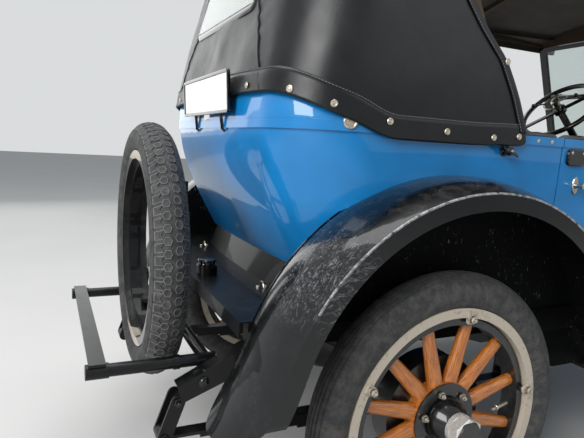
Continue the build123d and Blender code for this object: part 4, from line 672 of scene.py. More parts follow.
class DRESS_OT_paint(bpy.types.Operator):
    """Give every carried-over node its paint, wood, leather, glass or metal."""

    bl_idname = "touring_car.paint"
    bl_label = "Paint and Materials"

    def execute(self, context):
        doors = [f"door_{place}_{side}" for place in ("front", "rear") for side, _ in SIDES]
        knuckles = [f"knuckle_{side}" for side, _ in SIDES]
        axles = ["rear_axle", "front_axle", "tie_rod", "steering_column", *knuckles]
        leather = seat_leather()
        by_finish = {
            blue_enamel(): ["body_tub", "cowl", "hood_left", "hood_right", *doors],
            black_enamel(): ["front_fenders", "running_boards", "windshield_frame", "lamps"],
            chassis_enamel(): ["frame", "springs", "luggage_rack", "rear_apron", *axles],
            leather: ["seats"],
            window_glass(): ["windshield_glass", "rear_window"],
            bow_ash(): ["top_bows"],
            radiator_finish(): ["radiator"],
            cast_iron(): ["engine"],
            wheel_ebonite(): ["steering_wheel"],
            wheel_paint("enamel_rings_spare", SPARE_CENTRE): ["spare_rim"],
            tyre_rubber(): [name for name in NODES if "tyre" in name],
            coated_cloth(): ["top_cover"],
            black_enamel("enamel_rear_fenders_dipped", scratches_and_reflection=FENDER_SCRATCHES_AND_REFLECTION): ["rear_fenders"],
        }
        for material, nodes in by_finish.items():
            for node in nodes:
                put(node, material)
        for corner, _, centre in wheel_corners():
            put(f"wheel_metal_{corner}", wheel_paint(f"enamel_rings_{corner}", centre))
            put(f"wheel_wood_{corner}", spoke_hickory(f"hickory_turned_varnished_{corner}", centre))
        # Faces in the wheelhouse get the darker black of painted shade
        put_on_faces("rear_fenders", wheelhouse_shade_black(), in_wheelhouse)
        for node in doors:
            put_on_faces(node, leather, faces_in)
        put_on_faces("body_tub", leather, lines_tub)
        return {"FINISHED"}


# Forms that several pieces use


def finish_piece(shape, name, body, slot, *materials, crease=35.0):
    """Makes a piece of a bmesh: closed normals, smooth faces with crisp corners and its body; its slot is not
    used.
    """
    bmesh.ops.remove_doubles(shape, verts=shape.verts, dist=1e-6)
    bmesh.ops.recalc_face_normals(shape, faces=shape.faces)
    mesh = bpy.data.meshes.new(name)
    shape.to_mesh(mesh)
    shape.free()
    for material in materials:
        mesh.materials.append(material)
    mesh.shade_smooth()
    mesh.set_sharp_from_angle(angle=math.radians(crease))
    made = bpy.data.objects.new(name, mesh)
    bpy.context.scene.collection.objects.link(made)
    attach(made, body)
    return made


def settle(made):
    """Takes a piece's modifiers into its mesh."""
    bpy.context.view_layer.update()
    evaluated = made.evaluated_get(bpy.context.evaluated_depsgraph_get())
    mesh = bpy.data.meshes.new_from_object(evaluated)
    made.modifiers.clear()
    made.data = mesh
    return made


def thicken(made, gauge, offset, inner_material=0):
    """Gives a sheet its gauge: an offset of -1 grows inwards, 0 both ways and 1 outwards."""
    thick = made.modifiers.new("gauge", "SOLIDIFY")
    thick.thickness, thick.offset, thick.material_offset = gauge, offset, inner_material
    return settle(made)


def skin(shape, rings, loop=False, closed=True, index=0):
    """Faces between neighbouring rings of points; a ring of one point closes the form."""
    pairs = list(zip(rings, rings[1:])) + ([(rings[-1], rings[0])] if loop else [])
    for first, second in pairs:
        count = max(len(first), len(second))
        for k in range(count if closed else count - 1):
            corners = [
                first[k % len(first)],
                first[(k + 1) % len(first)],
                second[(k + 1) % len(second)],
                second[k % len(second)],
            ]
            corners = list(dict.fromkeys(corners))
            if len(corners) > 2:
                shape.faces.new(corners).material_index = index


def cap_ends(shape, rings, index=0):
    """Closes the first and the last ring."""
    shape.faces.new(rings[0]).material_index = index
    shape.faces.new(rings[-1][::-1]).material_index = index


def across_axis(along):
    """A direction and two others across it."""
    along = Vector(along).normalized()
    across = along.orthogonal().normalized()
    return along, across, along.cross(across)


def circle(shape, centre, across, third, radius, steps, phase=0.0, flat=1.0):
    """A ring of points about a centre; flat thins it along its third direction."""
    turns = [phase + 2 * math.pi * k / steps for k in range(steps)]
    aways = [(across * math.cos(turn) + third * math.sin(turn) * flat) * radius for turn in turns]
    return [shape.verts.new(centre + away) for away in aways]


def turned(shape, profile, at, along, steps=24, loop=False, index=0, phase=0.0):
    """Adds a turned form. Each row of its profile is a place along the axis and a radius."""
    along, across, third = across_axis(along)
    rings = []
    for place, radius in profile:
        centre = Vector(at) + along * place
        if radius > 0:
            rings.append(circle(shape, centre, across, third, radius, steps, phase))
        else:
            rings.append([shape.verts.new(centre)])
    skin(shape, rings, loop, index=index)


def stacked(shape, stack, at, along, index=0):
    """Adds turned forms on one axis, each with its steps round and its profile."""
    for steps, profile in stack:
        turned(shape, profile, at, along, steps, index=index)


def rod(shape, points, radius, steps=8, index=0, flat=1.0):
    """Adds a rod along points with closed ends; flat thins it across."""
    points = [Vector(p) for p in points]
    rings, across = [], None
    for k, point in enumerate(points):
        ahead = (points[min(k + 1, len(points) - 1)] - points[max(k - 1, 0)]).normalized()
        across = ahead.orthogonal() if across is None else across
        across = (across - ahead * across.dot(ahead)).normalized()
        rings.append(circle(shape, point, across, ahead.cross(across), radius, steps, flat=flat))
    skin(shape, rings, index=index)
    cap_ends(shape, rings, index)


def drawn_in(outline, amount):
    """Places of an outline, each drawn towards its middle by an amount."""
    middle = Vector((sum(p[0] for p in outline), sum(p[1] for p in outline))) / len(outline)
    places = []
    for point in outline:
        away = Vector(point) - middle
        places.append(middle + away * (1 - amount / max(away.length, 1e-6)))
    return places


def pressed(shape, outline, at, right, up, depth, round_edge):
    """Adds a pressed plate: an outline in its own plane, raised by a depth, with a rounded edge."""
    right, up = Vector(right).normalized(), Vector(up).normalized()
    out = right.cross(up)
    shoulder = (depth - round_edge / 2, 0.3 * round_edge)
    rows = ((0.0, 0.0), (depth - round_edge, 0.0), shoulder, (depth, round_edge))
    rings = []
    for level, inward in rows:
        places = drawn_in(outline, inward)
        rings.append([shape.verts.new(Vector(at) + right * p.x + up * p.y + out * level) for p in places])
    skin(shape, rings)
    cap_ends(shape, rings[::-1])


def rounded_outline(width, height, corner, steps=5):
    """Outline of a rectangle with round corners, about its middle."""
    outline = []
    for quarter, (a, b) in enumerate(((1, 1), (-1, 1), (-1, -1), (1, -1))):
        for k in range(steps + 1):
            turn = math.pi / 2 * (quarter + k / steps)
            x = a * (width / 2 - corner) + corner * math.cos(turn)
            y = b * (height / 2 - corner) + corner * math.sin(turn)
            outline.append((x, y))
    return outline


def found_on(target, start, ahead):
    """Where a straight line from outside meets a node or a finished piece, with the surface's normal."""
    if isinstance(target, BVHTree):
        place, normal, *_ = target.ray_cast(Vector(start), Vector(ahead))
    else:
        _, place, normal, _ = NODES[target].ray_cast(Vector(start), Vector(ahead))
    if place is None:
        raise RuntimeError(f"nothing of {target} lies ahead of {tuple(start)}")
    return place, normal


def on_side(node, sign, y, z):
    """Where a node's outer side lies at a place along the car and a height, with its normal."""
    return found_on(node, (sign * 1.2, REAR_Y + y, z), (-sign, 0, 0))


# The top. Its sizes are the closed top's in the frame, taken level by level

# height, half width, rear end along the middle, corner radius
TOP_LEVELS = (
    (1.186, 0.680, 0.545, 0.205),
    (1.540, 0.657, 0.474, 0.190),
    (1.900, 0.610, 0.386, 0.170),
    (2.080, 0.590, 0.340, 0.160),
)
TOP_BULGE = 0.015
TOP_FRONT = -1.85
TOP_NARROWS = (-0.90, 0.020)
# place along the car, height at the shoulders, height along the middle
ROOF_STATIONS = ((-1.862, 1.858, 1.930), (-1.110, 1.885, 2.006), (0.700, 1.885, 2.010))
ROOF_SHOULDER = 0.600
BOW_PLACES = (-1.722, -1.110, -0.430, 0.230)
VALANCE_BOTTOM = 1.80
VALANCE_END = -0.02
# height and place of the quarter's slanted front edge
QUARTER_EDGE = (
    (1.180, -0.262),
    (1.236, -0.253),
    (1.323, -0.215),
    (1.424, -0.160),
    (1.499, -0.089),
    (1.569, -0.035),
    (1.730, 0.060),
    (VALANCE_BOTTOM, VALANCE_END),
)
CLOTH_THICKNESS = 0.003
CLOTH_INSET = 0.0035
SHOULDER_BEND = 0.028
HEM_CORNER = 0.030
WINDOW_SIZE = (0.608, 0.190)
WINDOW_Z = 1.650
# share of the back, from its corner, where the window's cut starts
WINDOW_SHARE = 0.342
WALL_LEVELS = (1.335, 1.365, 1.40, 1.44, 1.48, 1.52, 1.555, 1.60, 1.65, 1.70, 1.745, 1.775, VALANCE_BOTTOM)
# height and reach from the middle of the seam between the back curtain and a quarter, and its ends
BACK_SEAM = ((1.20, 0.50), (1.29, 0.48), (1.56, 0.332), (1.90, 0.332))
SEAM_ENDS = (1.295, 1.86)
# reach from the middle of the seams along the roof
ROOF_SEAM_X = 0.43
# how far the hems, the quarter's folded edge and their stitches lie over the cloth
HEM_LIFT = 0.0022
FOLD_LIFT = 0.0036
STITCH_PITCH = 0.009
STITCH_LENGTH = 0.0055


def ease(low, high, value):
    """Smooth step from 0 at low to 1 at high."""
    share = min(1.0, max(0.0, (value - low) / (high - low)))
    return share * share * (3 - 2 * share)


def along_table(table, value):
    """Row of a table at a value of its first column, by straight lines between its rows."""
    for first, second in zip(table, table[1:]):
        if value <= second[0]:
            break
    share = min(1.0, max(0.0, (value - first[0]) / (second[0] - first[0])))
    return [a + (b - a) * share for a, b in zip(first[1:], second[1:])]


def top_level(z):
    """Half width, rear end and corner radius of the cloth at a height: a cubic through the four levels."""
    values = [0.0, 0.0, 0.0]
    for height, *sizes in TOP_LEVELS:
        share = math.prod((z - other) / (height - other) for other, *_ in TOP_LEVELS if other != height)
        values = [total + share * size for total, size in zip(values, sizes)]
    inset = CLOTH_INSET + 0.003 * (1 - ease(1.22, 1.36, z))
    return [value - inset for value in values]


def roof_height(x, y):
    """Height of the roof over a place: arched across, and rising from the front bow."""
    shoulder, crown = along_table(ROOF_STATIONS, y)
    rise = crown - shoulder
    radius = (ROOF_SHOULDER**2 + rise**2) / (2 * rise)
    reach = min(abs(x), ROOF_SHOULDER)
    return crown - radius + math.sqrt(radius**2 - reach**2) - CLOTH_INSET


def hem_height(y):
    """Bottom edge of the quarter: level behind the door, then up in an S and level again at the back."""
    hem = 1.186 + 0.048 * ease(0.20, 0.38, y) + 0.062 * ease(0.34, 0.54, y) + 0.005 * ease(-0.04, -0.22, y)
    front = along_table(QUARTER_EDGE, hem)[0]
    short = min(HEM_CORNER, max(0.0, front + HEM_CORNER - y))
    return hem + HEM_CORNER - math.sqrt(HEM_CORNER**2 - short**2)


def wall_place(zone, share, z):
    """A place on the right wall of the top and its direction out, by zone and share of the zone."""
    half, rear, corner = top_level(z)
    turn_start = rear - TOP_BULGE - corner
    if zone in ("front", "side"):
        edge = along_table(QUARTER_EDGE, z)[0] if z < VALANCE_BOTTOM else VALANCE_END
        ends = (TOP_FRONT, edge) if zone == "front" else (edge, turn_start)
        y = ends[0] + (ends[1] - ends[0]) * share
        widest, narrowing = TOP_NARROWS
        x = half - narrowing * min(1.0, max(0.0, (widest - y) / (widest - TOP_FRONT)))
        return Vector((-x, y, z)), Vector((-1, 0, 0))
    if zone == "corner":
        turn = math.pi / 2 * share
        out = Vector((-math.cos(turn), math.sin(turn), 0))
        return Vector((-(half - corner), turn_start, z)) + out * corner, out
    reach = (half - corner) * (1 - share)
    return Vector((-reach, rear - TOP_BULGE * (1 - share) ** 2, z)), Vector((0, 1, 0))


def foot_place(zone, share):
    """Where a column of the quarter meets the hem."""
    z = 1.2
    for _ in range(30):
        place, _ = wall_place(zone, share, z)
        z = 0.5 * z + 0.5 * hem_height(place.y)
    return z


def slack(place):
    """How far the cloth lies in or out: wide leaning folds, and short puckers beside the seam."""
    near_hem = 0.35 + 0.65 * ease(1.24, 1.40, place.z)
    lean = Vector((place.x * 1.6, place.y * 2.2 + place.z * 1.3, place.z * 1.2 - place.x * 0.5))
    wide = noise.noise(lean * 2.3) * 0.0055 + noise.noise(lean * 6.1) * 0.0022
    seam = along_table(BACK_SEAM, place.z)[0]
    beside = math.exp(-(((abs(place.x) - seam) / 0.05) ** 2)) * ease(0.2, 0.4, place.y)
    pucker = math.sin(place.z * 118.0 + noise.noise(place * 9.0) * 4.0) * 0.0022 * beside
    return (wide + pucker) * near_hem


def bow_sag(place):
    """How far the roof drops between two bows."""
    for first, second in zip(BOW_PLACES, BOW_PLACES[1:]):
        if first < place.y < second:
            share = (place.y - first) / (second - first)
            edge = 1 - min(1.0, abs(place.x) / ROOF_SHOULDER) ** 6
            return 0.0055 * math.sin(math.pi * share) ** 0.7 * edge
    return 0.0


def top_columns():
    """The columns of the right half, front to back: zone and share of the zone."""
    columns = [("front", k / 26) for k in range(26)]
    columns += [("side", share) for share in (0.0, 0.012, 0.028, 0.05, 0.08, 0.12)]
    columns += [("side", 0.12 + 0.88 * k / 13) for k in range(1, 13)]
    columns += [("corner", k / 10) for k in range(10)]
    columns += [("rear", WINDOW_SHARE * k / 3) for k in range(3)]
    columns += [("rear", WINDOW_SHARE + (1 - WINDOW_SHARE) * k / 7) for k in range(8)]
    return columns


def top_column(zone, share):
    """Places of one column from its foot over the shoulder to the middle of the roof."""
    places = []
    if zone != "front":
        foot = foot_place(zone, share)
        heights = [foot + (WALL_LEVELS[0] - foot) * k / 4 for k in range(4)] + list(WALL_LEVELS[:-1])
        places += [wall_place(zone, share, z)[0] for z in heights]
    base, out = wall_place(zone, share, VALANCE_BOTTOM)
    for _ in range(4):
        head, out = wall_place(zone, share, roof_height(base.x, base.y) - SHOULDER_BEND)
        base = head - out * SHOULDER_BEND
    head, out = wall_place(zone, share, roof_height(base.x, base.y) - SHOULDER_BEND)
    for k in range(3):
        z = VALANCE_BOTTOM + (head.z - VALANCE_BOTTOM) * k / 3
        places.append(wall_place(zone, share, z)[0])
    for k in range(5):
        turn = math.pi / 2 * k / 4
        rise = Vector((0, 0, math.sin(turn)))
        places.append(head + (rise - out * (1 - math.cos(turn))) * SHOULDER_BEND)
    inner = places[-1].copy()
    behind = ease(-0.25, 0.20, inner.y) if zone in ("front", "side") else 1.0
    spine_y = inner.y if inner.y < -0.25 else -0.25 + 0.22 * behind
    spine_y += {"corner": 0.10 * share, "rear": 0.10 + 0.08 * share}.get(zone, 0.0)
    for k in range(1, 15):
        flat = inner.lerp(Vector((0, spine_y, 0)), k / 14)
        places.append(Vector((flat.x, flat.y, roof_height(flat.x, flat.y))))
    return places


def top_shape():
    """The cloth as one grid, both halves, with its window cut out."""
    shape = bmesh.new()
    for sign in (-1, 1):
        rings = []
        for zone, share in top_columns():
            places = top_column(zone, share)
            rings.append([shape.verts.new((p.x * -sign, p.y + REAR_Y, p.z)) for p in places])
        for first, second in zip(rings, rings[1:]):
            low = min(len(first), len(second))
            for k in range(-low, -1):
                corners = [first[k], first[k + 1], second[k + 1], second[k]]
                if len({tuple(round(c, 6) for c in v.co) for v in corners}) > 2:
                    shape.faces.new(corners if sign > 0 else corners[::-1])
    bmesh.ops.remove_doubles(shape, verts=shape.verts, dist=1e-5)
    half_width = WINDOW_SIZE[0] / 2
    low, high = WINDOW_Z - WINDOW_SIZE[1] / 2, WINDOW_Z + WINDOW_SIZE[1] / 2
    opening = [
        face
        for face in shape.faces
        if face.calc_center_median().y > REAR_Y + 0.3
        and abs(face.calc_center_median().x) < half_width
        and low < face.calc_center_median().z < high
    ]
    bmesh.ops.delete(shape, geom=opening, context="FACES")
    bmesh.ops.recalc_face_normals(shape, faces=shape.faces)
    highest = max(shape.faces, key=lambda face: face.calc_center_median().z)
    if highest.normal.z < 0:
        bmesh.ops.reverse_faces(shape, faces=shape.faces)
    return shape


def on_cloth(tree, zone, share, z, sign, out=0.0):
    """A place on the finished cloth, lifted by out."""
    place, away = wall_place(zone, share, z)
    place, away = (Vector((v.x * -sign, v.y, v.z)) for v in (place, away))
    place.y += REAR_Y
    hit = tree.ray_cast(place + away * 0.08, -away)[0]
    if hit is None:
        # A place just past the cloth's rounded edge takes the edge itself
        hit = tree.find_nearest(place)[0]
    return hit + away * out


def column_of(x, y, z):
    """Zone and share on the right wall for a place given by its y, or by its x on the back."""
    half, rear, corner = top_level(z)
    turn_start = rear - TOP_BULGE - corner
    if x is not None and abs(x) < half - corner:
        return "rear", 1 - abs(x) / (half - corner)
    if x is not None:
        return "corner", math.acos(min(1.0, (abs(x) - half + corner) / corner)) / (math.pi / 2)
    if y <= turn_start:
        edge = along_table(QUARTER_EDGE, z)[0]
        return "side", (y - edge) / (turn_start - edge)
    return "corner", math.asin(min(1.0, (y - turn_start) / corner)) / (math.pi / 2)


def behind_edge(z, reach):
    """Share of the quarter's side for a place this far behind its front edge."""
    _, rear, corner = top_level(z)
    return reach / (rear - TOP_BULGE - corner - along_table(QUARTER_EDGE, z)[0])


def cloth_band(name, strips, material):
    """Strips of doubled cloth that lie on the top; each strip is rows of places."""
    shape = bmesh.new()
    for strip in strips:
        skin(shape, [[shape.verts.new(place) for place in row] for row in strip], closed=False)
    return thicken(finish_piece(shape, name, "car", "top_cloth", material, crease=60.0), 0.0024, 0.0)


def stitches(shape, line):
    """Short waxed stitches along a line of places."""
    travelled, due = 0.0, 0.0
    for first, second in zip(line, line[1:]):
        span = (second - first).length
        while due < travelled + span and span > 0:
            start = first.lerp(second, (due - travelled) / span)
            end = start + (second - first).normalized() * STITCH_LENGTH
            rod(shape, (start, end), 0.0008, 5, index=1)
            due += STITCH_PITCH
        travelled += span


def snap_fastener(shape, place, out, radius):
    """A turned snap fastener: flange, rolled rim and a pip in its hollow."""
    profile = (
        (-0.001, radius * 0.7),
        (0.0, radius),
        (0.0014, radius),
        (0.0028, radius * 0.86),
        (0.003, radius * 0.66),
        (0.0018, radius * 0.48),
        (0.0018, radius * 0.26),
        (0.0032, radius * 0.2),
        (0.0036, 0.0),
    )
    turned(shape, profile, place, out, 20)


# place along the car and height of the fasteners beside the door opening and along the hem
FASTENERS = (
    (-0.160, 1.424), (-0.223, 1.218), (-0.127, 1.210), (0.041, 1.216),
    (0.227, 1.230), (0.382, 1.262),
)
# place across the car and height of those on the back
BACK_FASTENERS = ((0.592, 1.293), (0.400, 1.312), (0.160, 1.318))
FASTENER_LIFT = 0.0046
# the large button on the body beside the hem
BODY_BUTTON = (
    (-0.002, 0.016), (0.0, 0.0185), (0.003, 0.0185), (0.0048, 0.0165),
    (0.0042, 0.0135), (0.0030, 0.012), (0.0034, 0.006), (0.0036, 0.0),
)
# place along the car and height of the ring under the quarter's head, and its button
EYELET_PLACE = (-0.020, 1.600)
EYELET_BUTTON = ((0.0, 0.009), (0.004, 0.009), (0.006, 0.006), (0.0065, 0.0))
# how much wider than the opening each loop of the window's frame is, and how far out it lies
FRAME_LOOPS = (
    (-0.006, 0.001), (-0.004, 0.006), (0.004, 0.009), (0.014, 0.008),
    (0.020, 0.004), (0.020, 0.0),
)


class DRESS_OT_top(bpy.types.Operator):
    """Cut and hang the cloth of the top with its hems, seams, stitches and window frame."""

    bl_idname = "touring_car.top"
    bl_label = "Cloth Top"

    def execute(self, context):
        cloth, lining = coated_cloth(), lining_cloth()
        made = finish_piece(top_shape(), "top_cloth", "car", "top_cloth", cloth, lining, crease=180.0)
        soften = made.modifiers.new("soften", "SUBSURF")
        soften.levels = soften.render_levels = 1
        soften.boundary_smooth = "ALL"
        settle(made)
        hang(made)
        tree = surface_of(made)
        thicken(made, CLOTH_THICKNESS, -1.0, inner_material=1)
        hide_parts("top_cover")
        bands = top_bands(tree, cloth)
        seams = top_seams(tree, cloth)
        window_frame()
        top_fasteners(tree)
        body_upper_band()
        return {"FINISHED"}


def hang(made):
    """Gives the flat-cut cloth its folds, puckers and sag."""
    shape = bmesh.new()
    shape.from_mesh(made.data)
    shape.normal_update()
    moves = []
    for vert in shape.verts:
        place = vert.co - Vector((0, REAR_Y, 0))
        move = vert.normal * slack(place)
        if vert.normal.z > 0.7:
            move = vert.normal * (slack(place) * 0.35) - Vector((0, 0, bow_sag(place)))
        moves.append(move)
    for vert, move in zip(shape.verts, moves):
        vert.co += move
    shape.to_mesh(made.data)
    shape.free()
    made.data.shade_smooth()


def surface_of(made):
    """Search tree of a piece's present surface."""
    bpy.context.view_layer.update()
    return BVHTree.FromObject(made, bpy.context.evaluated_depsgraph_get())


def hem_columns():
    """Columns of the hem: the quarter, the corner and the back to the middle."""
    columns = [("side", share) for share in (0.006, 0.014, 0.028, 0.045, 0.07, 0.10)]
    columns += [("side", 0.10 + 0.90 * k / 34) for k in range(1, 34)]
    columns += [("corner", k / 16) for k in range(16)]
    return columns + [("rear", k / 12) for k in range(13)]


def top_bands(tree, cloth):
    """The folded hem along the bottom, the folded front edge of the quarters and the hem of the valance."""
    width = settings().hem_width
    hems, edges, valances = [], [], []
    for _, sign in SIDES:
        rows = []
        for zone, share in hem_columns():
            foot = foot_place(zone, share)
            heights = [foot + 0.001, foot + 0.006] + [foot + width * k / 4 for k in range(1, 5)]
            rows.append([on_cloth(tree, zone, share, z, sign, HEM_LIFT) for z in heights])
        hems.append(rows)
        rows = []
        foot = foot_place("side", 0.0)
        for k in range(41):
            z = foot + 0.02 + (VALANCE_BOTTOM - foot - 0.024) * k / 40
            shares = [behind_edge(z, 0.002 + 0.026 * j / 3) for j in range(4)]
            rows.append([on_cloth(tree, "side", share, z, sign, FOLD_LIFT) for share in shares])
        edges.append(rows)
        rows = []
        heights = [VALANCE_BOTTOM + 0.001 + 0.022 * j / 3 for j in range(4)]
        for k in range(45):
            share = 0.004 + 0.99 * k / 44
            rows.append([on_cloth(tree, "front", share, z, sign, HEM_LIFT) for z in heights])
        valances.append(rows)
    bands = (("top_hem", hems), ("quarter_edge_fold", edges), ("valance_hem", valances))
    return [cloth_band(name, strips, cloth) for name, strips in bands]


def top_seams(tree, cloth):
    """Welted seams between curtain and quarters and along the roof, and every row of stitches."""
    shape = bmesh.new()
    width = settings().hem_width
    for _, sign in SIDES:
        hem_line = []
        for zone, share in hem_columns():
            z = foot_place(zone, share) + width - 0.004
            hem_line.append(on_cloth(tree, zone, share, z, sign, 0.0038))
        stitches(shape, hem_line)
        welt, beside = [], []
        for k in range(31):
            z = SEAM_ENDS[0] + (SEAM_ENDS[1] - SEAM_ENDS[0]) * k / 30
            x = along_table(BACK_SEAM, z)[0]
            welt.append(on_cloth(tree, *column_of(x, None, z), z, sign, 0.0012))
            beside.append(on_cloth(tree, *column_of(x - 0.009, None, z), z, sign, 0.0006))
        rod(shape, welt, 0.0028, 8)
        stitches(shape, beside)
        heights = [1.235 + (VALANCE_BOTTOM - 1.24) * k / 40 for k in range(41)]
        stitches(shape, [on_cloth(tree, "side", behind_edge(z, 0.024), z, sign, 0.0052) for z in heights])
        roof = []
        for k in range(61):
            y = TOP_FRONT + 0.02 + (0.20 - TOP_FRONT) * k / 60
            hit, _ = found_on(tree, (sign * ROOF_SEAM_X, y + REAR_Y, 2.3), (0, 0, -1))
            roof.append(hit + Vector((0, 0, 0.0008)))
        rod(shape, roof, 0.0026, 8)
    return finish_piece(shape, "top_seams", "car", "top_cloth", cloth, waxed_thread())


def window_frame():
    """The pressed frame round the pane in the back curtain."""
    shape = bmesh.new()
    width, height = WINDOW_SIZE
    loops = []
    for grow, out in FRAME_LOOPS:
        ring = []
        for a, b in rounded_outline(width + 2 * grow, height + 2 * grow, 0.022 + grow, 4):
            z = WINDOW_Z + b
            place, _ = wall_place(*column_of(abs(a), None, z), z)
            place = Vector((math.copysign(abs(place.x), a), place.y + REAR_Y, z)) + Vector((0, 1, 0.25)) * out
            ring.append(shape.verts.new(place))
        loops.append(ring)
    skin(shape, loops)
    enamel = black_enamel("enamel_window_frame")
    thicken(finish_piece(shape, "rear_window_frame", "car", "black_enamel", enamel), 0.0015, -1.0)


def top_fasteners(tree):
    """Brass snap fasteners along the hem and the front edge, and the ring under the quarter's head."""
    shape = bmesh.new()
    columns = [(column_of(None, y, z), z) for y, z in FASTENERS]
    columns += [(column_of(x, None, z), z) for x, z in BACK_FASTENERS]
    for _, sign in SIDES:
        for (zone, share), z in columns:
            place = on_cloth(tree, zone, share, z, sign, FASTENER_LIFT)
            _, away = wall_place(zone, share, z)
            snap_fastener(shape, place, (away.x * -sign, away.y, 0), settings().fastener_radius)
        turned(shape, BODY_BUTTON, *on_side("body_tub", sign, 0.332, 1.222), 28)
    finish_piece(shape, "top_fasteners", "car", "top_cloth", old_brass())
    shape = bmesh.new()
    y, z = EYELET_PLACE
    for _, sign in SIDES:
        middle = on_cloth(tree, *column_of(None, y, z), z, sign, 0.008)
        turns = [2 * math.pi * k / 28 for k in range(29)]
        loop = [middle + Vector((0, math.cos(turn) * 0.020, math.sin(turn) * 0.024)) for turn in turns]
        rod(shape, loop, 0.0034, 8)
        turned(shape, EYELET_BUTTON, middle - Vector((sign * 0.004, 0, 0)), (sign, 0, 0), 16)
    finish_piece(shape, "top_eyelets", "car", "wheel_steel", nickel_plate("nickel_plated_eyelets", 0.18))


# half width, rear end and corner radius of the body where its side ends under the cloth
BODY_RIM = (0.660, 0.507, 0.200)
BODY_RIM_Z = 1.2253
BODY_BULGE = 0.015
BAND_GAUGE = 0.006
BAND_FRONT = 0.235
# how round the band's top edge is, how far it runs up behind the hem, and how much it leans in
BAND_ROUND = 0.0012
BAND_COVER = 0.016
BAND_LEAN = 0.05


def body_upper_band():
    """The rolled top of the body that carries its side on up behind the hem, where the hem climbs."""
    half, rear, corner = BODY_RIM
    turn_start = rear - BODY_BULGE - corner
    columns = []
    for k in range(4):
        y = BAND_FRONT + (turn_start - BAND_FRONT) * k / 4
        columns.append((Vector((-half, y, 0)), Vector((-1, 0, 0))))
    for k in range(16):
        turn = math.pi / 2 * k / 16
        out = Vector((-math.cos(turn), math.sin(turn), 0))
        columns.append((Vector((corner - half, turn_start, 0)) + out * corner, out))
    for k in range(13):
        reach = (half - corner) * (1 - k / 12)
        columns.append((Vector((-reach, rear - BODY_BULGE * (1 - k / 12) ** 2, 0)), Vector((0, 1, 0))))
    shape = bmesh.new()
    for _, sign in SIDES:
        rings = []
        for flat, away in columns:
            out = Vector((away.x * -sign, away.y, 0))
            start = Vector((flat.x * -sign, flat.y + REAR_Y, BODY_RIM_Z - 0.003))
            foot, _ = found_on("body_tub", start + out * 0.1, -out)
            rise = max(BODY_RIM_Z + 0.002, hem_height(flat.y) + BAND_COVER) - BODY_RIM_Z
            inner = BAND_ROUND - BAND_GAUGE
            rows = ((0.0, 0.0), (0.0, rise - 0.002), (-BAND_ROUND, rise), (inner, rise), (-BAND_GAUGE, 0.0))
            ring = []
            for inward, up in rows:
                place = Vector((foot.x, foot.y, BODY_RIM_Z + up))
                ring.append(shape.verts.new(place + out * (inward - BAND_LEAN * up)))
            rings.append(ring)
        skin(shape, rings)
        shape.faces.new(rings[0])
        shape.faces.new(rings[-1])
    bmesh.ops.remove_doubles(shape, verts=shape.verts, dist=1e-5)
    finish_piece(shape, "body_upper_band", "car", "body_paint", blue_enamel())


# Tyres

TYRE_WALL = 0.055
TYRE_HALF = (REAR_WHEEL[1].x - REAR_WHEEL[0].x) / 2
BEAD_TURN = -42
RIB_PLACES = (-0.0345, -0.0230, -0.0115, 0.0, 0.0115, 0.0230, 0.0345)
WALL_RINGS = (14, 22, 158, 166)
SPARE_PITCHES = 74
BLOCK_HEIGHT = 0.0035
# along the tread and across it, from the middle of a block
HEX_BLOCK = (
    (0.0, 0.0135), (0.0125, 0.0070), (0.0125, -0.0070), (0.0, -0.0120),
    (-0.0125, -0.0070), (-0.0125, 0.0070),
)
SHOULDER_BLOCK = (
    (-0.0150, -0.0115), (-0.0010, -0.0035), (0.0130, -0.0115), (0.0150, 0.0110),
    (-0.0130, 0.0110),
)
BLOCK_ROWS = ((HEX_BLOCK, 0.0155, 0.0), (SHOULDER_BLOCK, 0.0375, 0.5))
# size of each ring of a block and its lift, up its wall and over its scuffed edge
BLOCK_RINGS = (
    (1.06, -0.001),
    (1.0, BLOCK_HEIGHT - 0.0006),
    (0.90, BLOCK_HEIGHT),
    (0.78, BLOCK_HEIGHT - 0.0008),
)


def crown_radius(place, sunk=0.0):
    """Radius of the tyre's outer face at a place across it."""
    share = min(1.0, abs(place) / TYRE_HALF)
    return TYRE_R - TYRE_WALL + TYRE_WALL * math.sqrt(1 - share**2) - sunk


def tyre_section(tread, grooves, sunk=0.0):
    """Section of a tyre from bead over the crown to bead: place across and radius."""
    rows = []
    for k in range(67):
        turn = BEAD_TURN + (180 - 2 * BEAD_TURN) * k / 66
        swell = 0.982 if any(abs(turn - ring) < 2.2 for ring in WALL_RINGS) else 1.0
        place = TYRE_HALF * math.cos(math.radians(turn)) * swell
        lift = TYRE_WALL * math.sin(math.radians(turn))
        if turn < 0 or turn > 180 or all(abs(place - groove) > 0.0030 for groove in grooves):
            lowered = sunk if abs(place) < 0.049 and lift > 0 else 0.0
            rows.append((turn, place, TYRE_R - TYRE_WALL + lift - lowered))
    for groove in grooves:
        for side, cut in ((0.0024, 0.0), (0.0014, tread), (-0.0014, tread), (-0.0024, 0.0)):
            place = groove + side
            rows.append((math.degrees(math.acos(place / TYRE_HALF)), place, crown_radius(place, cut)))
    return [row[1:] for row in sorted(rows)]


def tread_block(shape, outline, turn, middle, side):
    """Adds one raised block of the spare's tread with a scuffed edge."""
    rings = []
    for size, lift in BLOCK_RINGS:
        ring = []
        for along, across in outline:
            place = side * (middle + across * size)
            angle = turn + along * size / TYRE_R
            radius = crown_radius(place, BLOCK_HEIGHT) + lift
            away = Vector((math.cos(angle) * radius, place, math.sin(angle) * radius))
            ring.append(shape.verts.new(SPARE_CENTRE + away))
        rings.append(ring)
    skin(shape, rings[:2])
    skin(shape, rings[1:], index=1)
    shape.faces.new(rings[-1])


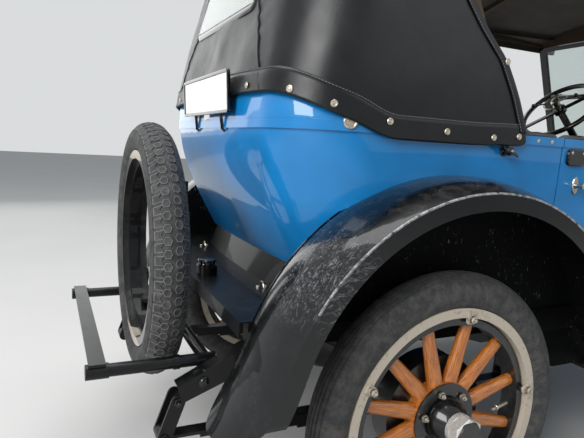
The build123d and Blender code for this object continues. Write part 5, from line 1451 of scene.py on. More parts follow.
class DRESS_OT_tyres(bpy.types.Operator):
    """Mould the four ribbed road tyres and the spare with its blocks."""

    bl_idname = "touring_car.tyres"
    bl_label = "Tyres"

    def execute(self, context):
        rubber, edge = tyre_rubber(), scuffed_rubber()
        section = tyre_section(settings().tread_depth, RIB_PLACES)
        for corner, sign, centre in wheel_corners():
            shape = bmesh.new()
            turned(shape, section, centre, (sign, 0, 0), 120, loop=True)
            name, body = f"ribbed_tyre_{corner}", f"wheel_{corner}"
            made = finish_piece(shape, name, body, "tyre_rubber", rubber, crease=28.0)
            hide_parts(f"tyre_{corner}")
        shape = bmesh.new()
        turned(shape, tyre_section(0.0, (), BLOCK_HEIGHT), SPARE_CENTRE, (0, 1, 0), 148, loop=True)
        for pitch in range(SPARE_PITCHES):
            for side in (-1, 1):
                for outline, middle, offset in BLOCK_ROWS:
                    turn = 2 * math.pi * (pitch + offset + (0.25 if side > 0 else 0.0)) / SPARE_PITCHES
                    tread_block(shape, outline, turn, middle, side)
        made = finish_piece(shape, "block_tyre_spare", "car", "tyre_rubber", rubber, edge, crease=28.0)
        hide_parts("spare_tyre")
        return {"FINISHED"}


# Wheel fittings

HUB_BOLTS = 6
HUB_BOLT_REACH = 0.078
HUB_BOLT_PHASE = 48
HUB_FACE = 0.034
CAP_FLATS = 0.0405
# place along the axle of the six-sided cap and its share of the width over corners
HUB_CAP = ((0.090, 0.9), (0.091, 1.0), (0.119, 1.0), (0.1225, 0.93), (0.1235, 0.84), (0.1235, 0.4))
CAP_PHASE = 0.3
CAP_RING = ((0.074, 0.036), (0.076, 0.0425), (0.0905, 0.0425), (0.092, 0.040))
# place along the axle and radius of the domed hub between its disc and its cap
HUB_DOME = (
    (0.0330, 0.0655), (0.0355, 0.0650), (0.0430, 0.0625), (0.0520, 0.0585),
    (0.0620, 0.0530), (0.0710, 0.0470), (0.0770, 0.0420),
)
LUGS = 5
LUG_PHASE = 10
LUG_REACH = 0.300
LUG_FACE = 0.040
# outline of a clamp, across the rim and outwards
CLAMP_WEDGE = (
    (-0.017, 0.012), (-0.019, 0.017), (0.019, 0.017), (0.017, 0.012),
    (0.011, -0.015), (0.006, -0.020), (-0.006, -0.020), (-0.011, -0.015),
)
# steps round and profile of each washer, nut and threaded end
HUB_NUT = (
    (20, ((-0.004, 0.0105), (0.002, 0.0105), (0.003, 0.009))),
    (6, ((0.002, 0.0078), (0.0072, 0.0078), (0.0084, 0.0066), (0.0084, 0.0))),
    (14, ((0.007, 0.0042), (0.0125, 0.0042), (0.0135, 0.0030), (0.0135, 0.0))),
)
CLAMP_NUT = (
    (20, ((0.0, 0.0125), (0.003, 0.0125), (0.004, 0.0112))),
    (6, ((0.003, 0.0105), (0.011, 0.0105), (0.013, 0.008), (0.013, 0.0))),
    (14, ((0.012, 0.0050), (0.018, 0.0050), (0.019, 0.0038), (0.019, 0.0))),
)
VALVE_STEM = (
    (14, ((0.0, 0.0060), (0.055, 0.0060), (0.056, 0.0048), (0.075, 0.0048), (0.077, 0.0036), (0.077, 0.0))),
    (12, ((0.052, 0.0068), (0.0535, 0.0085), (0.059, 0.0085), (0.0605, 0.0068))),
)
# place of the valve stem from the wheel's centre: outwards and along the car
STEM_PLACE = (0.012, -0.250)


def round_axle(count, phase):
    """Directions away from the axle, evenly spaced from a phase in degrees."""
    turns = [math.radians(phase + 360 * k / count) for k in range(count)]
    return [Vector((0, -math.cos(turn), math.sin(turn))) for turn in turns]


def hub_cap(corner, centre, out, cap, dome):
    """The six-sided screwed cap, its ring and the domed hub behind it."""
    shape = bmesh.new()
    profile = [(place, share * CAP_FLATS / math.cos(math.pi / 6)) for place, share in HUB_CAP]
    turned(shape, profile, centre, out, 6, phase=CAP_PHASE)
    turned(shape, CAP_RING, centre, out, 40)
    turned(shape, HUB_DOME, centre, out, 48, index=1)
    finish_piece(shape, f"hub_cap_{corner}", f"wheel_{corner}", "wheel_steel", cap, dome, crease=22.0)


def hub_bolts(corner, centre, out, steel):
    """The bolts through the hub's disc, and the valve stem with its collar."""
    shape = bmesh.new()
    for away in round_axle(HUB_BOLTS, HUB_BOLT_PHASE):
        stacked(shape, HUB_NUT, centre + out * HUB_FACE + away * HUB_BOLT_REACH, out)
    stem = centre + Vector((out.x * STEM_PLACE[0], STEM_PLACE[1], 0))
    stacked(shape, VALVE_STEM, stem, (out.x * 0.25, 1, 0))
    finish_piece(shape, f"hub_bolts_{corner}", f"wheel_{corner}", "wheel_steel", steel, crease=30.0)


def rim_clamps(corner, centre, out, enamel, steel):
    """The wedge clamps that hold the demountable rim, with their nuts."""
    shape = bmesh.new()
    for away in round_axle(LUGS, LUG_PHASE):
        foot = centre + out * LUG_FACE + away * LUG_REACH
        pressed(shape, CLAMP_WEDGE, foot, out.cross(away) * out.x, away, 0.007, 0.0022)
        nut = centre + out * (LUG_FACE + 0.006) + away * (LUG_REACH - 0.004)
        stacked(shape, CLAMP_NUT, nut, out, index=1)
    finish_piece(shape, f"rim_clamps_{corner}", f"wheel_{corner}", "wheel_steel", enamel, steel, crease=30.0)


class DRESS_OT_wheel_fittings(bpy.types.Operator):
    """Fit hub bolts, hub cap, rim clamps with their nuts and the valve stem to each wheel."""

    bl_idname = "touring_car.wheel_fittings"
    bl_label = "Wheel Fittings"

    def execute(self, context):
        aluminium, steel = hub_aluminium(), nickel_plate("steel_bolt_turned", 0.34)
        enamel, dome = rim_clamp_enamel(), black_enamel("enamel_hub_dipped", 0.3, 0.2)
        for corner, sign, centre in wheel_corners():
            out = Vector((sign, 0, 0))
            hub_cap(corner, centre, out, aluminium, dome)
            hub_bolts(corner, centre, out, steel)
            rim_clamps(corner, centre, out, enamel, steel)
        return {"FINISHED"}


# Trim on the body

PLATE_SIZE = (0.520, 0.112)
PLATE_PLACE = (-0.038, 0.533, 1.3035)
# node, place along the car of the handle
HANDLES = (("door_front", -1.195), ("door_rear", -0.513))
HANDLE_Z = 1.081

# place across and height of the splash apron under the sill, from its lower edge up
APRON_SECTION = (
    (0.6000, 0.440), (0.5985, 0.500), (0.6000, 0.560), (0.6060, 0.584),
    (0.6220, 0.592), (0.6370, 0.5955), (0.6400, 0.604), (0.6405, 0.640),
    (0.6405, 0.674),
)
APRON_ENDS = (-0.795, -0.400)
# how much the apron's lower edge rises towards its rear end
APRON_RISE = 0.12


def splash_aprons():
    """The pressed aprons that close the gap between sill, rear fender and running board."""
    front, rear = APRON_ENDS
    for side, sign in SIDES:
        shape = bmesh.new()
        rings = []
        for k in range(13):
            y = front + (rear - front) * k / 12
            bottom = APRON_SECTION[0][1] + APRON_RISE * ease(-0.60, -0.40, y)
            ring = []
            for x, z in APRON_SECTION:
                height = max(z, bottom) if z < APRON_SECTION[3][1] else z
                ring.append(shape.verts.new((sign * x, y + REAR_Y, height)))
            rings.append(ring)
        skin(shape, rings, closed=False)
        # The aprons get the wheelhouse's darker black of painted shade
        made = finish_piece(shape, f"splash_apron_{side}", "car", "black_enamel", wheelhouse_shade_black())
        thicken(made, 0.0012, 0.0)


# first and last angle of the wired edge about the rear axle, and the spread of radii it is sought in
BEAD_ANGLES = (24, 171)
BEAD_REACH = (0.605, 0.690)
BEAD_RADIUS = 0.0034


def crown_edge(sign, turn, lip_x):
    """Where a rear fender's crown turns into its lip, in a direction from the axle, or None."""
    low, high = BEAD_REACH
    edge = None
    for step in range(171):
        reach = low + (high - low) * step / 170
        start = Vector((sign * 1.2, REAR_Y + reach * math.cos(turn), AXLE_Z + reach * math.sin(turn)))
        _, place, _, _ = NODES["rear_fenders"].ray_cast(start, Vector((-sign, 0, 0)))
        if place is not None and abs(place.x) > lip_x - 0.0005:
            edge = place
    return edge


def fender_beads():
    """The wired edge where each rear fender's crown turns down into its lip."""
    shape = bmesh.new()
    first, last = BEAD_ANGLES
    lip_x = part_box("rear_fenders")[1].x
    turns = [math.radians(first + (last - first) * k / 63) for k in range(64)]
    for _, sign in SIDES:
        edges = [crown_edge(sign, turn, lip_x) for turn in turns]
        line = [edge - Vector((sign * 0.0015, 0, 0)) for edge in edges if edge is not None]
        rod(shape, line, BEAD_RADIUS, 8)
    finish_piece(shape, "fender_beads", "car", "black_enamel", rubbed_and_highlit_bead())


class DRESS_OT_trim(bpy.types.Operator):
    """Fit the plate, handles, knobs, catches, deck cap, spring bolts, aprons and wired edges."""

    bl_idname = "touring_car.trim"
    bl_label = "Body Trim"

    def execute(self, context):
        nickel, steel = nickel_plate(), nickel_plate("steel_screws", 0.3)
        black = black_enamel("enamel_trim_dipped", 0.2, 0.2)
        bare_plate(black)
        for side, sign in SIDES:
            for node, y in HANDLES:
                door_handle(f"{node}_{side}", sign, y, nickel)
            curtain_knob(side, sign, black, steel)
            door_catch(side, sign, black, steel)
        deck_fittings(black, steel)
        spring_bolts(black)
        splash_aprons()
        fender_beads()
        return {"FINISHED"}


# how much wider than the plate each loop of its holder's rim is, and how far out it lies
HOLDER_LOOPS = (
    (0.007, -0.004), (0.007, 0.004), (0.005, 0.0055), (-0.002, 0.0055),
    (-0.004, 0.003), (-0.004, 0.0),
)
HOLDER_ARMS = (-0.15, 0.15)


def bare_plate(black):
    """A bare enamelled plate in its folded black holder, on two arms from the body."""
    x, y, z = PLATE_PLACE
    width, height = PLATE_SIZE
    at = Vector((x, y + REAR_Y, z))
    right, up = Vector((-1, 0, 0)), Vector((0, 0.06, 1)).normalized()
    out = right.cross(up)
    shape = bmesh.new()
    pressed(shape, rounded_outline(width, height, 0.006), at, right, up, 0.002, 0.0008)
    finish_piece(shape, "bare_plate", "car", "black_enamel", plate_enamel())
    shape = bmesh.new()
    back = rounded_outline(width + 0.014, height + 0.014, 0.008)
    pressed(shape, back, at - out * 0.0045, right, up, 0.004, 0.001)
    loops = []
    for grow, lift in HOLDER_LOOPS:
        outline = rounded_outline(width + 2 * grow, height + 2 * grow, 0.007 + grow)
        loops.append([shape.verts.new(at + right * a + up * b + out * lift) for a, b in outline])
    skin(shape, loops)
    for arm in HOLDER_ARMS:
        foot, normal = found_on("body_tub", (x + arm, REAR_Y + 1.0, 1.19), (0, -1, 0))
        start = at + Vector((arm, 0, 0)) - up * 0.046 - out * 0.0098
        elbow = foot + normal * 0.008 + Vector((0, 0, 0.006))
        rod(shape, (start, start - up * 0.018, elbow, foot), 0.005, 10)
    finish_piece(shape, "plate_holder", "car", "black_enamel", black)


HANDLE_NECK = (
    (0.003, 0.0105), (0.012, 0.0085), (0.020, 0.0080), (0.028, 0.0095),
    (0.034, 0.0095), (0.036, 0.0),
)
HANDLE_TIP = ((-0.002, 0.0), (0.0, 0.006), (0.004, 0.0088), (0.009, 0.0088), (0.013, 0.006), (0.0145, 0.0))
HANDLE_REACH = 0.112


def door_handle(node, sign, y, nickel):
    """A cast lever handle on its oval plate."""
    place, _ = on_side(node, sign, y, HANDLE_Z)
    out, ahead = Vector((sign, 0, 0.02)).normalized(), Vector((0, -1, 0))
    shape = bmesh.new()
    turns = [2 * math.pi * k / 28 for k in range(28)]
    oval = [(0.0135 * math.cos(turn), 0.029 * math.sin(turn)) for turn in turns]
    pressed(shape, oval, place - out * 0.001, ahead * -sign, (0, 0, 1), 0.006, 0.003)
    turned(shape, HANDLE_NECK, place, out, 20)
    lever = []
    for share in (k / 9 for k in range(10)):
        bend = Vector((sign * 0.006 * math.sin(share * 3.0), 0, -0.006 * share**2))
        lever.append(place + out * 0.029 + ahead * (HANDLE_REACH * share) + bend)
    rod(shape, lever, 0.0085, 12, flat=0.62)
    turned(shape, HANDLE_TIP, lever[-1], ahead, 16)
    finish_piece(shape, f"{node}_handle", node, "wheel_steel", nickel)


# place along the car and height of the curtain knob, its profile and stud
KNOB_PLACE = (-0.19, 1.176)
KNOB = (
    (-0.002, 0.017), (0.002, 0.017), (0.004, 0.0135), (0.010, 0.011),
    (0.016, 0.0135), (0.024, 0.0135), (0.028, 0.010), (0.029, 0.0),
)
KNOB_STUD = ((0.026, 0.0042), (0.033, 0.0042), (0.034, 0.0030), (0.034, 0.0))
# how far out, along and up each bend of a wing lies
KNOB_WING = ((0.020, 0.010, 0.003), (0.024, 0.023, 0.009), (0.025, 0.030, 0.013))


def curtain_knob(side, sign, black, steel):
    """The black wing nut and stud under the front corner of the quarter."""
    place, _ = on_side("body_tub", sign, *KNOB_PLACE)
    out = Vector((sign, 0, 0))
    shape = bmesh.new()
    turned(shape, KNOB, place, out, 24)
    for tilt in (-1, 1):
        wing = [place + out * reach + Vector((0, tilt * y, tilt * z)) for reach, y, z in KNOB_WING]
        rod(shape, wing, 0.0075, 10, flat=0.45)
    turned(shape, KNOB_STUD, place, out, 14, index=1)
    finish_piece(shape, f"curtain_knob_{side}", "car", "black_enamel", black, steel)


# place along the car and height of the catch's cover, and of the moulding's screws
CATCH_PLACE = (-0.495, 1.168)
CATCH_SCREW = ((0.008, 0.0052), (0.0112, 0.0052), (0.0124, 0.0036), (0.0126, 0.0))
MOULDING_SCREWS = ((-0.378, 1.211), (-0.320, 1.211))
MOULDING_SCREW = ((-0.001, 0.0062), (0.001, 0.0062), (0.0024, 0.0046), (0.003, 0.0))


def door_catch(side, sign, black, steel):
    """The black cover of the rear door's lock and the screws of the body's top moulding."""
    node = f"door_rear_{side}"
    place, _ = on_side(node, sign, *CATCH_PLACE)
    out = Vector((sign, 0, 0))
    shape = bmesh.new()
    cover = rounded_outline(0.080, 0.052, 0.016)
    pressed(shape, cover, place - out * 0.004, (0, sign, 0), (0, 0, 1), 0.014, 0.004)
    for offset in (-0.026, 0.026):
        turned(shape, CATCH_SCREW, place + Vector((0, offset, 0.015)), out, 14, index=1)
    finish_piece(shape, f"{node}_catch", node, "black_enamel", black, steel)
    shape = bmesh.new()
    for y, z in MOULDING_SCREWS:
        turned(shape, MOULDING_SCREW, on_side("body_tub", sign, y, z)[0], out, 14)
    finish_piece(shape, f"moulding_screws_{side}", "car", "wheel_steel", steel)


FILLER_PLACE = (-0.13, 0.53)
FILLER_CAP = (
    (-0.002, 0.034), (0.003, 0.034), (0.0045, 0.028), (0.008, 0.027),
    (0.009, 0.030), (0.018, 0.030), (0.0205, 0.027), (0.0215, 0.0),
)
CLIP_PLACES = ((-0.33, 0.41), (0.33, 0.41))
CLIP_BOLT = ((-0.001, 0.0075), (0.005, 0.0075), (0.007, 0.005), (0.007, 0.0))


def milled(shape, at, radius, low, high, count, thickness, steps):
    """Adds upright ridges round a cap."""
    for k in range(count):
        turn = 2 * math.pi * k / count
        side = Vector((math.cos(turn), math.sin(turn), 0)) * radius
        rod(shape, (at + side + Vector((0, 0, low)), at + side + Vector((0, 0, high))), thickness, steps)


def deck_fittings(black, steel):
    """The filler cap on the rear deck and the clips beside it."""
    x, y = FILLER_PLACE
    place, _ = found_on("rear_apron", (x, REAR_Y + y, 1.0), (0, 0, -1))
    shape = bmesh.new()
    turned(shape, FILLER_CAP, place, (0, 0, 1), 36)
    milled(shape, place, 0.0298, 0.0105, 0.017, 16, 0.0014, 6)
    finish_piece(shape, "deck_cap", "car", "black_enamel", black)
    shape = bmesh.new()
    turns = [math.pi * k / 10 for k in range(11)]
    for x, y in CLIP_PLACES:
        foot, _ = found_on("rear_apron", (x, REAR_Y + y, 1.0), (0, 0, -1))
        for step in (-0.012, 0.012):
            turned(shape, CLIP_BOLT, foot + Vector((0, step, 0)), (0, 0, 1), 6)
        hoop = [foot + Vector((0.016 * math.cos(turn), 0, 0.002 + 0.016 * math.sin(turn))) for turn in turns]
        rod(shape, hoop, 0.0028, 8)
    finish_piece(shape, "deck_clips", "car", "wheel_steel", steel)


# place along the car and height of the pins at the rear shackles and the bolt on the rail
SPRING_PINS = ((0.722, 0.3355), (0.686, 0.436))
RAIL_BOLT = (0.618, 0.490)
PIN_NUT = (
    (20, ((0.0, 0.0165), (0.003, 0.0165), (0.004, 0.014))),
    (6, ((0.003, 0.0135), (0.013, 0.0135), (0.0145, 0.011), (0.0145, 0.0))),
    (14, ((0.014, 0.0068), (0.024, 0.0068), (0.0255, 0.0050), (0.0255, 0.0))),
)
RAIL_BOLT_HEAD = (
    (-0.001, 0.015), (0.003, 0.015), (0.0045, 0.012), (0.007, 0.010),
    (0.0085, 0.006), (0.0088, 0.0),
)


def spring_bolts(black):
    """Nuts and threaded ends on the shackle pins, and the bolt through each rail."""
    shape = bmesh.new()
    spring_x = max(corner.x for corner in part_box("springs"))
    for _, sign in SIDES:
        out = Vector((sign, 0, 0))
        for y, z in SPRING_PINS:
            stacked(shape, PIN_NUT, Vector((sign * spring_x, REAR_Y + y, z)), out)
        web, _ = found_on("frame", (sign * 0.8, REAR_Y + RAIL_BOLT[0], RAIL_BOLT[1]), (-sign, 0, 0))
        turned(shape, RAIL_BOLT_HEAD, web, out, 20)
    finish_piece(shape, "spring_bolts", "car", "chassis_steel", black, crease=30.0)


# Cockpit

LEVER_UP = Vector((0, 0.724172, 0.68962))
HUB_PLACE = Vector((0.300, -1.590, 1.437))
# directions of the two levers in degrees, and their boss and ball ends
LEVER_TURNS = (20, -165)
LEVER_REACH = 0.118
LEVER_BOSS = ((0.008, 0.020), (0.050, 0.018), (0.056, 0.024), (0.068, 0.024), (0.074, 0.018), (0.076, 0.0))
LEVER_BALL = (
    (-0.013, 0.0), (-0.011, 0.006), (-0.005, 0.0105), (0.002, 0.0115),
    (0.008, 0.0095), (0.0125, 0.0045), (0.0135, 0.0),
)
# panel, front end and rear end of each roll of padding, and the height of its middle
PADDING = (("quarter", -0.425, 0.10), ("rear_door", -1.025, -0.445), ("front_door", -1.695, -1.135))
PADDING_Z = 1.2262
# tacks that gather the padding stand this far apart, in millimetres
TACK_PITCH = 62.0


def levers(nickel, black):
    """The spark and throttle levers over their quadrant."""
    middle = HUB_PLACE + Vector((0, REAR_Y, 0)) + LEVER_UP * 0.060
    aside = Vector((1, 0, 0))
    top = LEVER_UP.cross(aside)
    shape = bmesh.new()
    turned(shape, LEVER_BOSS, HUB_PLACE + Vector((0, REAR_Y, 0)), LEVER_UP, 28)
    turns = [math.radians(-150 + 12 * k) for k in range(26)]
    arc = [middle + (aside * math.cos(turn) + top * math.sin(turn)) * 0.062 for turn in turns]
    rod(shape, arc, 0.0042, 8, flat=0.6)
    for turn in map(math.radians, LEVER_TURNS):
        tip = aside * math.cos(turn) + top * math.sin(turn)
        ball = middle + tip * LEVER_REACH + LEVER_UP * 0.012
        rod(shape, (middle + tip * 0.012, middle + tip * 0.06 + LEVER_UP * 0.006, ball), 0.0045, 8, flat=0.7)
        turned(shape, LEVER_BALL, ball, LEVER_UP, 18, index=1)
    finish_piece(shape, "spark_and_throttle_levers", "car", "wheel_steel", nickel, black)


def rim_padding(name, body, sign, node, front, rear, leather):
    """A stuffed roll of leathercloth along the top of a panel, crowned and gathered by its tacks."""
    shape = bmesh.new()
    rings, steps = [], 36
    for k in range(steps + 1):
        y = front + (rear - front) * k / steps + REAR_Y
        wall, _ = found_on(node, (sign * 0.3, y, 1.20), (sign, 0, 0))
        taper = 0.35 + 0.65 * math.sin(math.pi * (k / steps)) ** 0.25
        gather = 1 - 0.08 * math.cos(2 * math.pi * (y * 1000 / TACK_PITCH))
        ring = []
        for j in range(16):
            turn = 2 * math.pi * j / 16
            across = 0.019 * math.cos(turn) * taper
            lift = max(-0.001, 0.015 * math.sin(turn) * taper * gather)
            ring.append(shape.verts.new((wall.x + sign * (0.012 + across), y, PADDING_Z + lift)))
        rings.append(ring)
    skin(shape, rings)
    cap_ends(shape, rings)
    made = finish_piece(shape, name, body, "seat_leather", leather, crease=70.0)


class DRESS_OT_cockpit(bpy.types.Operator):
    """Fit the spark and throttle levers on their quadrant and the padded roll along the body's rim."""

    bl_idname = "touring_car.cockpit"
    bl_label = "Levers and Padding"

    def execute(self, context):
        levers(nickel_plate("nickel_plated_levers", 0.16), wheel_ebonite())
        leather = seat_leather("leathercloth_rim_padding", "#2B2C2E", "#46484B")
        for side, sign in SIDES:
            bodies = {"rear_door": f"door_rear_{side}", "front_door": f"door_front_{side}"}
            for panel, front, rear in PADDING:
                body, node = bodies.get(panel, "car"), bodies.get(panel, "body_tub")
                rim_padding(f"rim_padding_{panel}_{side}", body, sign, node, front, rear, leather)
        return {"FINISHED"}


# Lamps and radiator

LAMP_PLACE = (0.385, -3.06, 1.010)
LAMP_RADIUS = 0.118
LAMP_RIM = (
    (0.0, LAMP_RADIUS * 0.905),
    (-0.004, LAMP_RADIUS * 0.93),
    (-0.003, LAMP_RADIUS * 0.985),
    (0.004, LAMP_RADIUS + 0.0035),
    (0.016, LAMP_RADIUS + 0.0045),
    (0.020, LAMP_RADIUS + 0.001),
)
FLUTE_DEPTH = 0.0006
CAP_Y = -2.985
RADIATOR_CAP = (
    (-0.004, 0.030), (0.002, 0.034), (0.010, 0.034), (0.013, 0.029), (0.018, 0.027),
    (0.024, 0.018), (0.026, 0.0),
)


def headlamp_lens(side, x, z, face, glass):
    """The fluted glass, laid on the front of a lamp."""
    shape = bmesh.new()
    rings = []
    for k in range(11):
        reach = LAMP_RADIUS * 0.90 * (1 - k / 10)
        ring = []
        for turn in (2 * math.pi * j / 72 for j in range(72)):
            across = reach * math.cos(turn)
            flute = FLUTE_DEPTH * math.cos(across * 1000 / FLUTE_PITCH * 2 * math.pi) if k else 0.0
            hit, _ = found_on("lamps", (x + across, face - 0.2, z + reach * math.sin(turn)), (0, 1, 0))
            ring.append(shape.verts.new(hit - Vector((0, 0.0012 + flute, 0))))
        rings.append(ring[:1] if k == 10 else ring)
    skin(shape, rings)
    made = finish_piece(shape, f"headlamp_lens_{side}", "car", "pane_glass", glass, crease=60.0)
    thicken(made, 0.0009, 1.0)


class DRESS_OT_lamps(bpy.types.Operator):
    """Fit the lamp rims and fluted lenses, and the radiator's filler cap."""

    bl_idname = "touring_car.lamps"
    bl_label = "Lamps and Radiator Cap"

    def execute(self, context):
        nickel, glass = nickel_plate("nickel_plated_lamp_rims", 0.14), lamp_glass()
        x, _, z = LAMP_PLACE
        for side, sign in SIDES:
            front, _ = found_on("lamps", (sign * x, REAR_Y - 4, z), (0, 1, 0))
            headlamp_lens(side, sign * x, z, front.y, glass)
            shape = bmesh.new()
            rim, _ = found_on("lamps", (sign * x, front.y - 0.2, z + LAMP_RADIUS * 0.93), (0, 1, 0))
            turned(shape, LAMP_RIM, (sign * x, rim.y, z), (0, 1, 0), 72, loop=True)
            finish_piece(shape, f"headlamp_rim_{side}", "car", "lamp_enamel", nickel, crease=50.0)
        cap, _ = found_on("radiator", (0, REAR_Y + CAP_Y, 1.6), (0, 0, -1))
        shape = bmesh.new()
        turned(shape, RADIATOR_CAP, cap, (0, 0, 1), 36)
        milled(shape, cap, 0.034, 0.001, 0.010, 8, 0.005, 8)
        finish_piece(shape, "radiator_cap", "car", "radiator_paint", nickel)
        return {"FINISHED"}


# Seats

# name, cushion front, cushion rear, cushion underside, cushion top, back top, half width, floor
SEATS = (
    ("front", -1.42, -0.96, 0.865, 0.985, 1.27, 0.540, 0.660),
    ("rear", -0.33, 0.13, 0.880, 1.000, 1.29, 0.560, 0.835),
)
BACK_THICKNESS = 0.130
BACK_LEAN = math.radians(14)
SWELL_CAP = 0.022
PLEAT = 0.090
# width and depth of the channel that is sewn between two pleats
PLEAT_WIDTH = 0.0075
PLEAT_DEPTH = 0.010


def stuffed_block(name, profile, half, inset, leather):
    """A closed form of a side profile, set in by what it will swell, ready for the simulation."""
    shape = bmesh.new()
    rings = []
    for share in (-1, -0.97, -0.5, 0, 0.5, 0.97, 1):
        places = drawn_in(profile, inset * (1.9 if abs(share) == 1 else 1.0))
        rings.append([shape.verts.new((share * (half - inset), p.x + REAR_Y, p.y)) for p in places])
    skin(shape, rings)
    cap_ends(shape, rings)
    made = finish_piece(shape, name, "car", "seat_leather", leather, crease=180.0)
    remesh = made.modifiers.new("remesh", "REMESH")
    remesh.mode, remesh.voxel_size = "VOXEL", 0.012
    return settle(made)


def swell(cushions, cap):
    """Fills the cushions: a cloth simulation under pressure with no gravity, each point held to a cap."""
    rest = {made.name: [vert.co.copy() for vert in made.data.vertices] for made in cushions}
    for made in cushions:
        cloth = made.modifiers.new("cloth", "CLOTH")
        cloth.settings.quality = 4
        cloth.settings.use_pressure = True
        cloth.settings.uniform_pressure_force = 4.0
        cloth.settings.effector_weights.gravity = 0.0
        cloth.settings.tension_stiffness = cloth.settings.compression_stiffness = 12.0
    scene = bpy.context.scene
    for step in range(1, 21):
        scene.frame_set(step)
    for made in cushions:
        settle(made)
        for vert, start in zip(made.data.vertices, rest[made.name]):
            move = vert.co - start
            if move.length > cap:
                vert.co = start + move.normalized() * cap
    scene.frame_set(1)


def sew_pleats(made, face):
    """Presses the sewn channels into a cushion's face, 90 mm apart, and softens its mesh."""
    smooth = made.modifiers.new("smooth", "SUBSURF")
    smooth.levels = smooth.render_levels = 1
    settle(made)
    shape = bmesh.new()
    shape.from_mesh(made.data)
    shape.normal_update()
    for vert in shape.verts:
        facing = vert.normal.dot(face)
        if facing > 0.35:
            off = (vert.co.x / PLEAT) % 1.0 - 0.5
            channel = math.exp(-((off * PLEAT / PLEAT_WIDTH) ** 2))
            vert.co -= vert.normal * PLEAT_DEPTH * channel * ease(0.35, 0.8, facing)
    shape.to_mesh(made.data)
    shape.free()
    made.data.shade_smooth()


def seat_box(name, front, rear, under, half, floor, leather):
    """The trimmed box under a cushion, with a kick roll along its front."""
    shape = bmesh.new()
    outline = rounded_outline(rear - front - 0.03, under - floor - 0.002, 0.016)
    y, z = (front + rear) / 2, (under + floor) / 2
    rings = []
    for share in (-1.0, -0.985, 0.985, 1.0):
        size = 1 - 0.012 if abs(share) == 1.0 else 1
        places = [(share * (half - 0.01), y + a * size + REAR_Y, z + b * size) for a, b in outline]
        rings.append([shape.verts.new(place) for place in places])
    skin(shape, rings)
    cap_ends(shape, rings)
    line = [Vector((x / 12 * (half - 0.03), front + 0.012 + REAR_Y, under - 0.018)) for x in range(-12, 13)]
    rod(shape, line, 0.011, 12)
    finish_piece(shape, f"{name}_seat_box", "car", "seat_leather", leather)


class DRESS_OT_seats(bpy.types.Operator):
    """Stuff and pleat the seat cushions and backs, and set them on their boxes."""

    bl_idname = "touring_car.seats"
    bl_label = "Seats"

    def execute(self, context):
        leather = seat_leather()
        cushions, backs = [], []
        for name, front, rear, under, top, high, half, floor in SEATS:
            face = rear - BACK_THICKNESS
            end = face - 0.004
            cushion = ((front, under), (front, top - 0.02), (front + 0.03, top), (end, top), (end, under))
            cushions.append(stuffed_block(f"{name}_seat_cushion", cushion, half, SWELL_CAP, leather))
            shift = (high - top) * math.tan(BACK_LEAN)
            low, end = top - 0.10, rear - 0.006
            back = ((face, low), (face + shift, high), (rear + shift - 0.006, high), (end, low))
            backs.append(stuffed_block(f"{name}_seat_back", back, half, SWELL_CAP, leather))
            seat_box(name, front, rear, under, half, floor, leather)
        swell(cushions + backs, SWELL_CAP)
        for made in cushions + backs:
            sew_pleats(made, Vector((0, -1, 0.25)).normalized() if made in backs else Vector((0, 0, 1)))
        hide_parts("seats")
        return {"FINISHED"}


# The stage

CAMERA_PLACE = Vector((-1.79878, 1.01286 + REAR_Y, 1.15596))
CAMERA_AHEAD = Vector((0.89576, -0.42256, -0.13807))
CAMERA_UP = Vector((0.14943, -0.00631, 0.98875))
CAMERA_LENS = 32.434
# name, place, where it points, size and watts
LIGHTS = (
    ("key_light", (-3.6, 7.4, 4.6), (0, 1.2, 0.9), 4.0, 600.0),
    ("fill_light", (-6.0, -3.5, 5.5), (0, 0.5, 0.8), 4.0, 45.0),
    ("rim_light", (7.0, 3.2, 3.0), (0, 1.2, 1.3), 4.0, 60.0),
    ("top_light", (1.0, 1.0, 6.5), (0, 0.5, 1.0), 5.0, 260.0),
)


def soft_light(name, place, target, size, watts):
    """A square area light of a size that points at a target."""
    data = bpy.data.lights.new(name, "AREA")
    data.shape = "SQUARE"
    data.size, data.energy = size, watts
    lamp = bpy.data.objects.new(name, data)
    bpy.context.scene.collection.objects.link(lamp)
    lamp.location = place
    lamp.rotation_euler = (Vector(target) - Vector(place)).to_track_quat("-Z", "Y").to_euler()


def studio_world():
    """Even light from all sides, behind a plain backdrop that the glass and the gloss see too."""
    world = bpy.data.worlds.new("studio_world")
    bpy.context.scene.world = world
    world.use_nodes = True
    tree = world.node_tree
    tree.nodes.clear()
    rays = add_node(tree, "ShaderNodeLightPath").outputs
    shown = worked(tree, "MAXIMUM", rays["Is Camera Ray"], rays["Is Transmission Ray"])
    shown = worked(tree, "MAXIMUM", shown, rays["Is Glossy Ray"])
    lit = add_node(tree, "ShaderNodeBackground", {"Color": rgba("#DCE4EC"), "Strength": 0.45})
    clear = add_node(tree, "ShaderNodeBackground", {"Color": rgba("#DADCDD"), "Strength": 1.0})
    inputs = {0: shown, 1: lit.outputs[0], 2: clear.outputs[0]}
    mixed = add_node(tree, "ShaderNodeMixShader", inputs).outputs[0]
    add_node(tree, "ShaderNodeOutputWorld", {"Surface": mixed}, is_active_output=True)


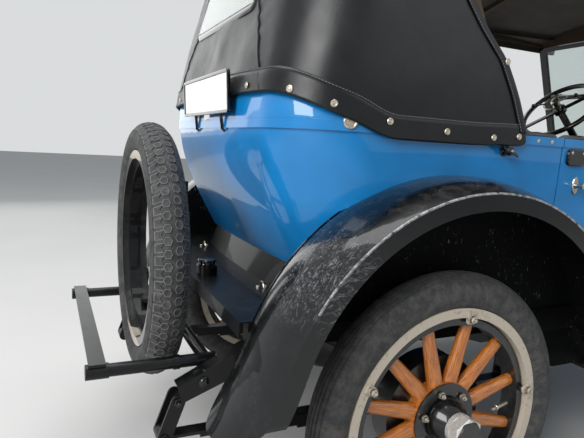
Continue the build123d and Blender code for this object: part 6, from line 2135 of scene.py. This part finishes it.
class DRESS_OT_stage(bpy.types.Operator):
    """Set the camera, the pale floor and the soft light."""

    bl_idname = "touring_car.stage"
    bl_label = "Stage and Camera"

    def execute(self, context):
        scene = context.scene
        data = bpy.data.cameras.new("view_camera")
        data.sensor_width, data.lens, data.clip_end = 36.0, CAMERA_LENS, 200.0
        camera = bpy.data.objects.new("view_camera", data)
        scene.collection.objects.link(camera)
        back = -CAMERA_AHEAD.normalized()
        right = CAMERA_UP.cross(back).normalized()
        up = back.cross(right).normalized()
        turn = Matrix((right, up, back)).transposed().to_4x4()
        camera.matrix_world = Matrix.Translation(CAMERA_PLACE) @ turn
        scene.camera = camera

        bpy.ops.mesh.primitive_plane_add(size=60.0, location=(0, 0, 0))
        floor = context.active_object
        floor.name = "studio_floor"
        material, tree, shader = new_material("floor_paper_seamless", Roughness=0.9)
        # The paper is a shade uneven, as rolled stock is
        paper = blend_colours(tree, grain(tree, 900.0, 2.0), "#C9C8C5", "#D3D2CF")
        feed(tree, shader, Base_Color=paper)
        floor.data.materials.append(material)

        studio_world()
        for light in LIGHTS:
            soft_light(*light)
        scene.view_settings.view_transform = "Standard"
        return {"FINISHED"}


class DRESS_PT_panel(bpy.types.Panel):
    """Sidebar panel with the pieces in the order they are made."""

    bl_label = "Touring Car"
    bl_idname = "DRESS_PT_panel"
    bl_space_type = "VIEW_3D"
    bl_region_type = "UI"
    bl_category = "Touring Car"

    def draw(self, context):
        column = self.layout.column()
        for name in TouringCarSettings.__annotations__:
            column.prop(context.scene.touring_car, name)
        for operator in OPERATORS:
            column.operator(operator.bl_idname)


OPERATORS = (
    DRESS_OT_paint,
    DRESS_OT_top,
    DRESS_OT_tyres,
    DRESS_OT_wheel_fittings,
    DRESS_OT_trim,
    DRESS_OT_cockpit,
    DRESS_OT_lamps,
    DRESS_OT_seats,
    DRESS_OT_stage,
)
CLASSES = (TouringCarSettings, *OPERATORS, DRESS_PT_panel)


def register():
    """Make the settings, operators and panel known."""
    for made in CLASSES:
        bpy.utils.register_class(made)
    bpy.types.Scene.touring_car = bpy.props.PointerProperty(type=TouringCarSettings)


def unregister():
    """Take them out again."""
    del bpy.types.Scene.touring_car
    for made in reversed(CLASSES):
        bpy.utils.unregister_class(made)


def main():
    """Dress the car."""
    register()
    for operator in OPERATORS:
        group, name = operator.bl_idname.split(".")
        getattr(getattr(bpy.ops, group), name)()


if __name__ == "__main__":
    main()
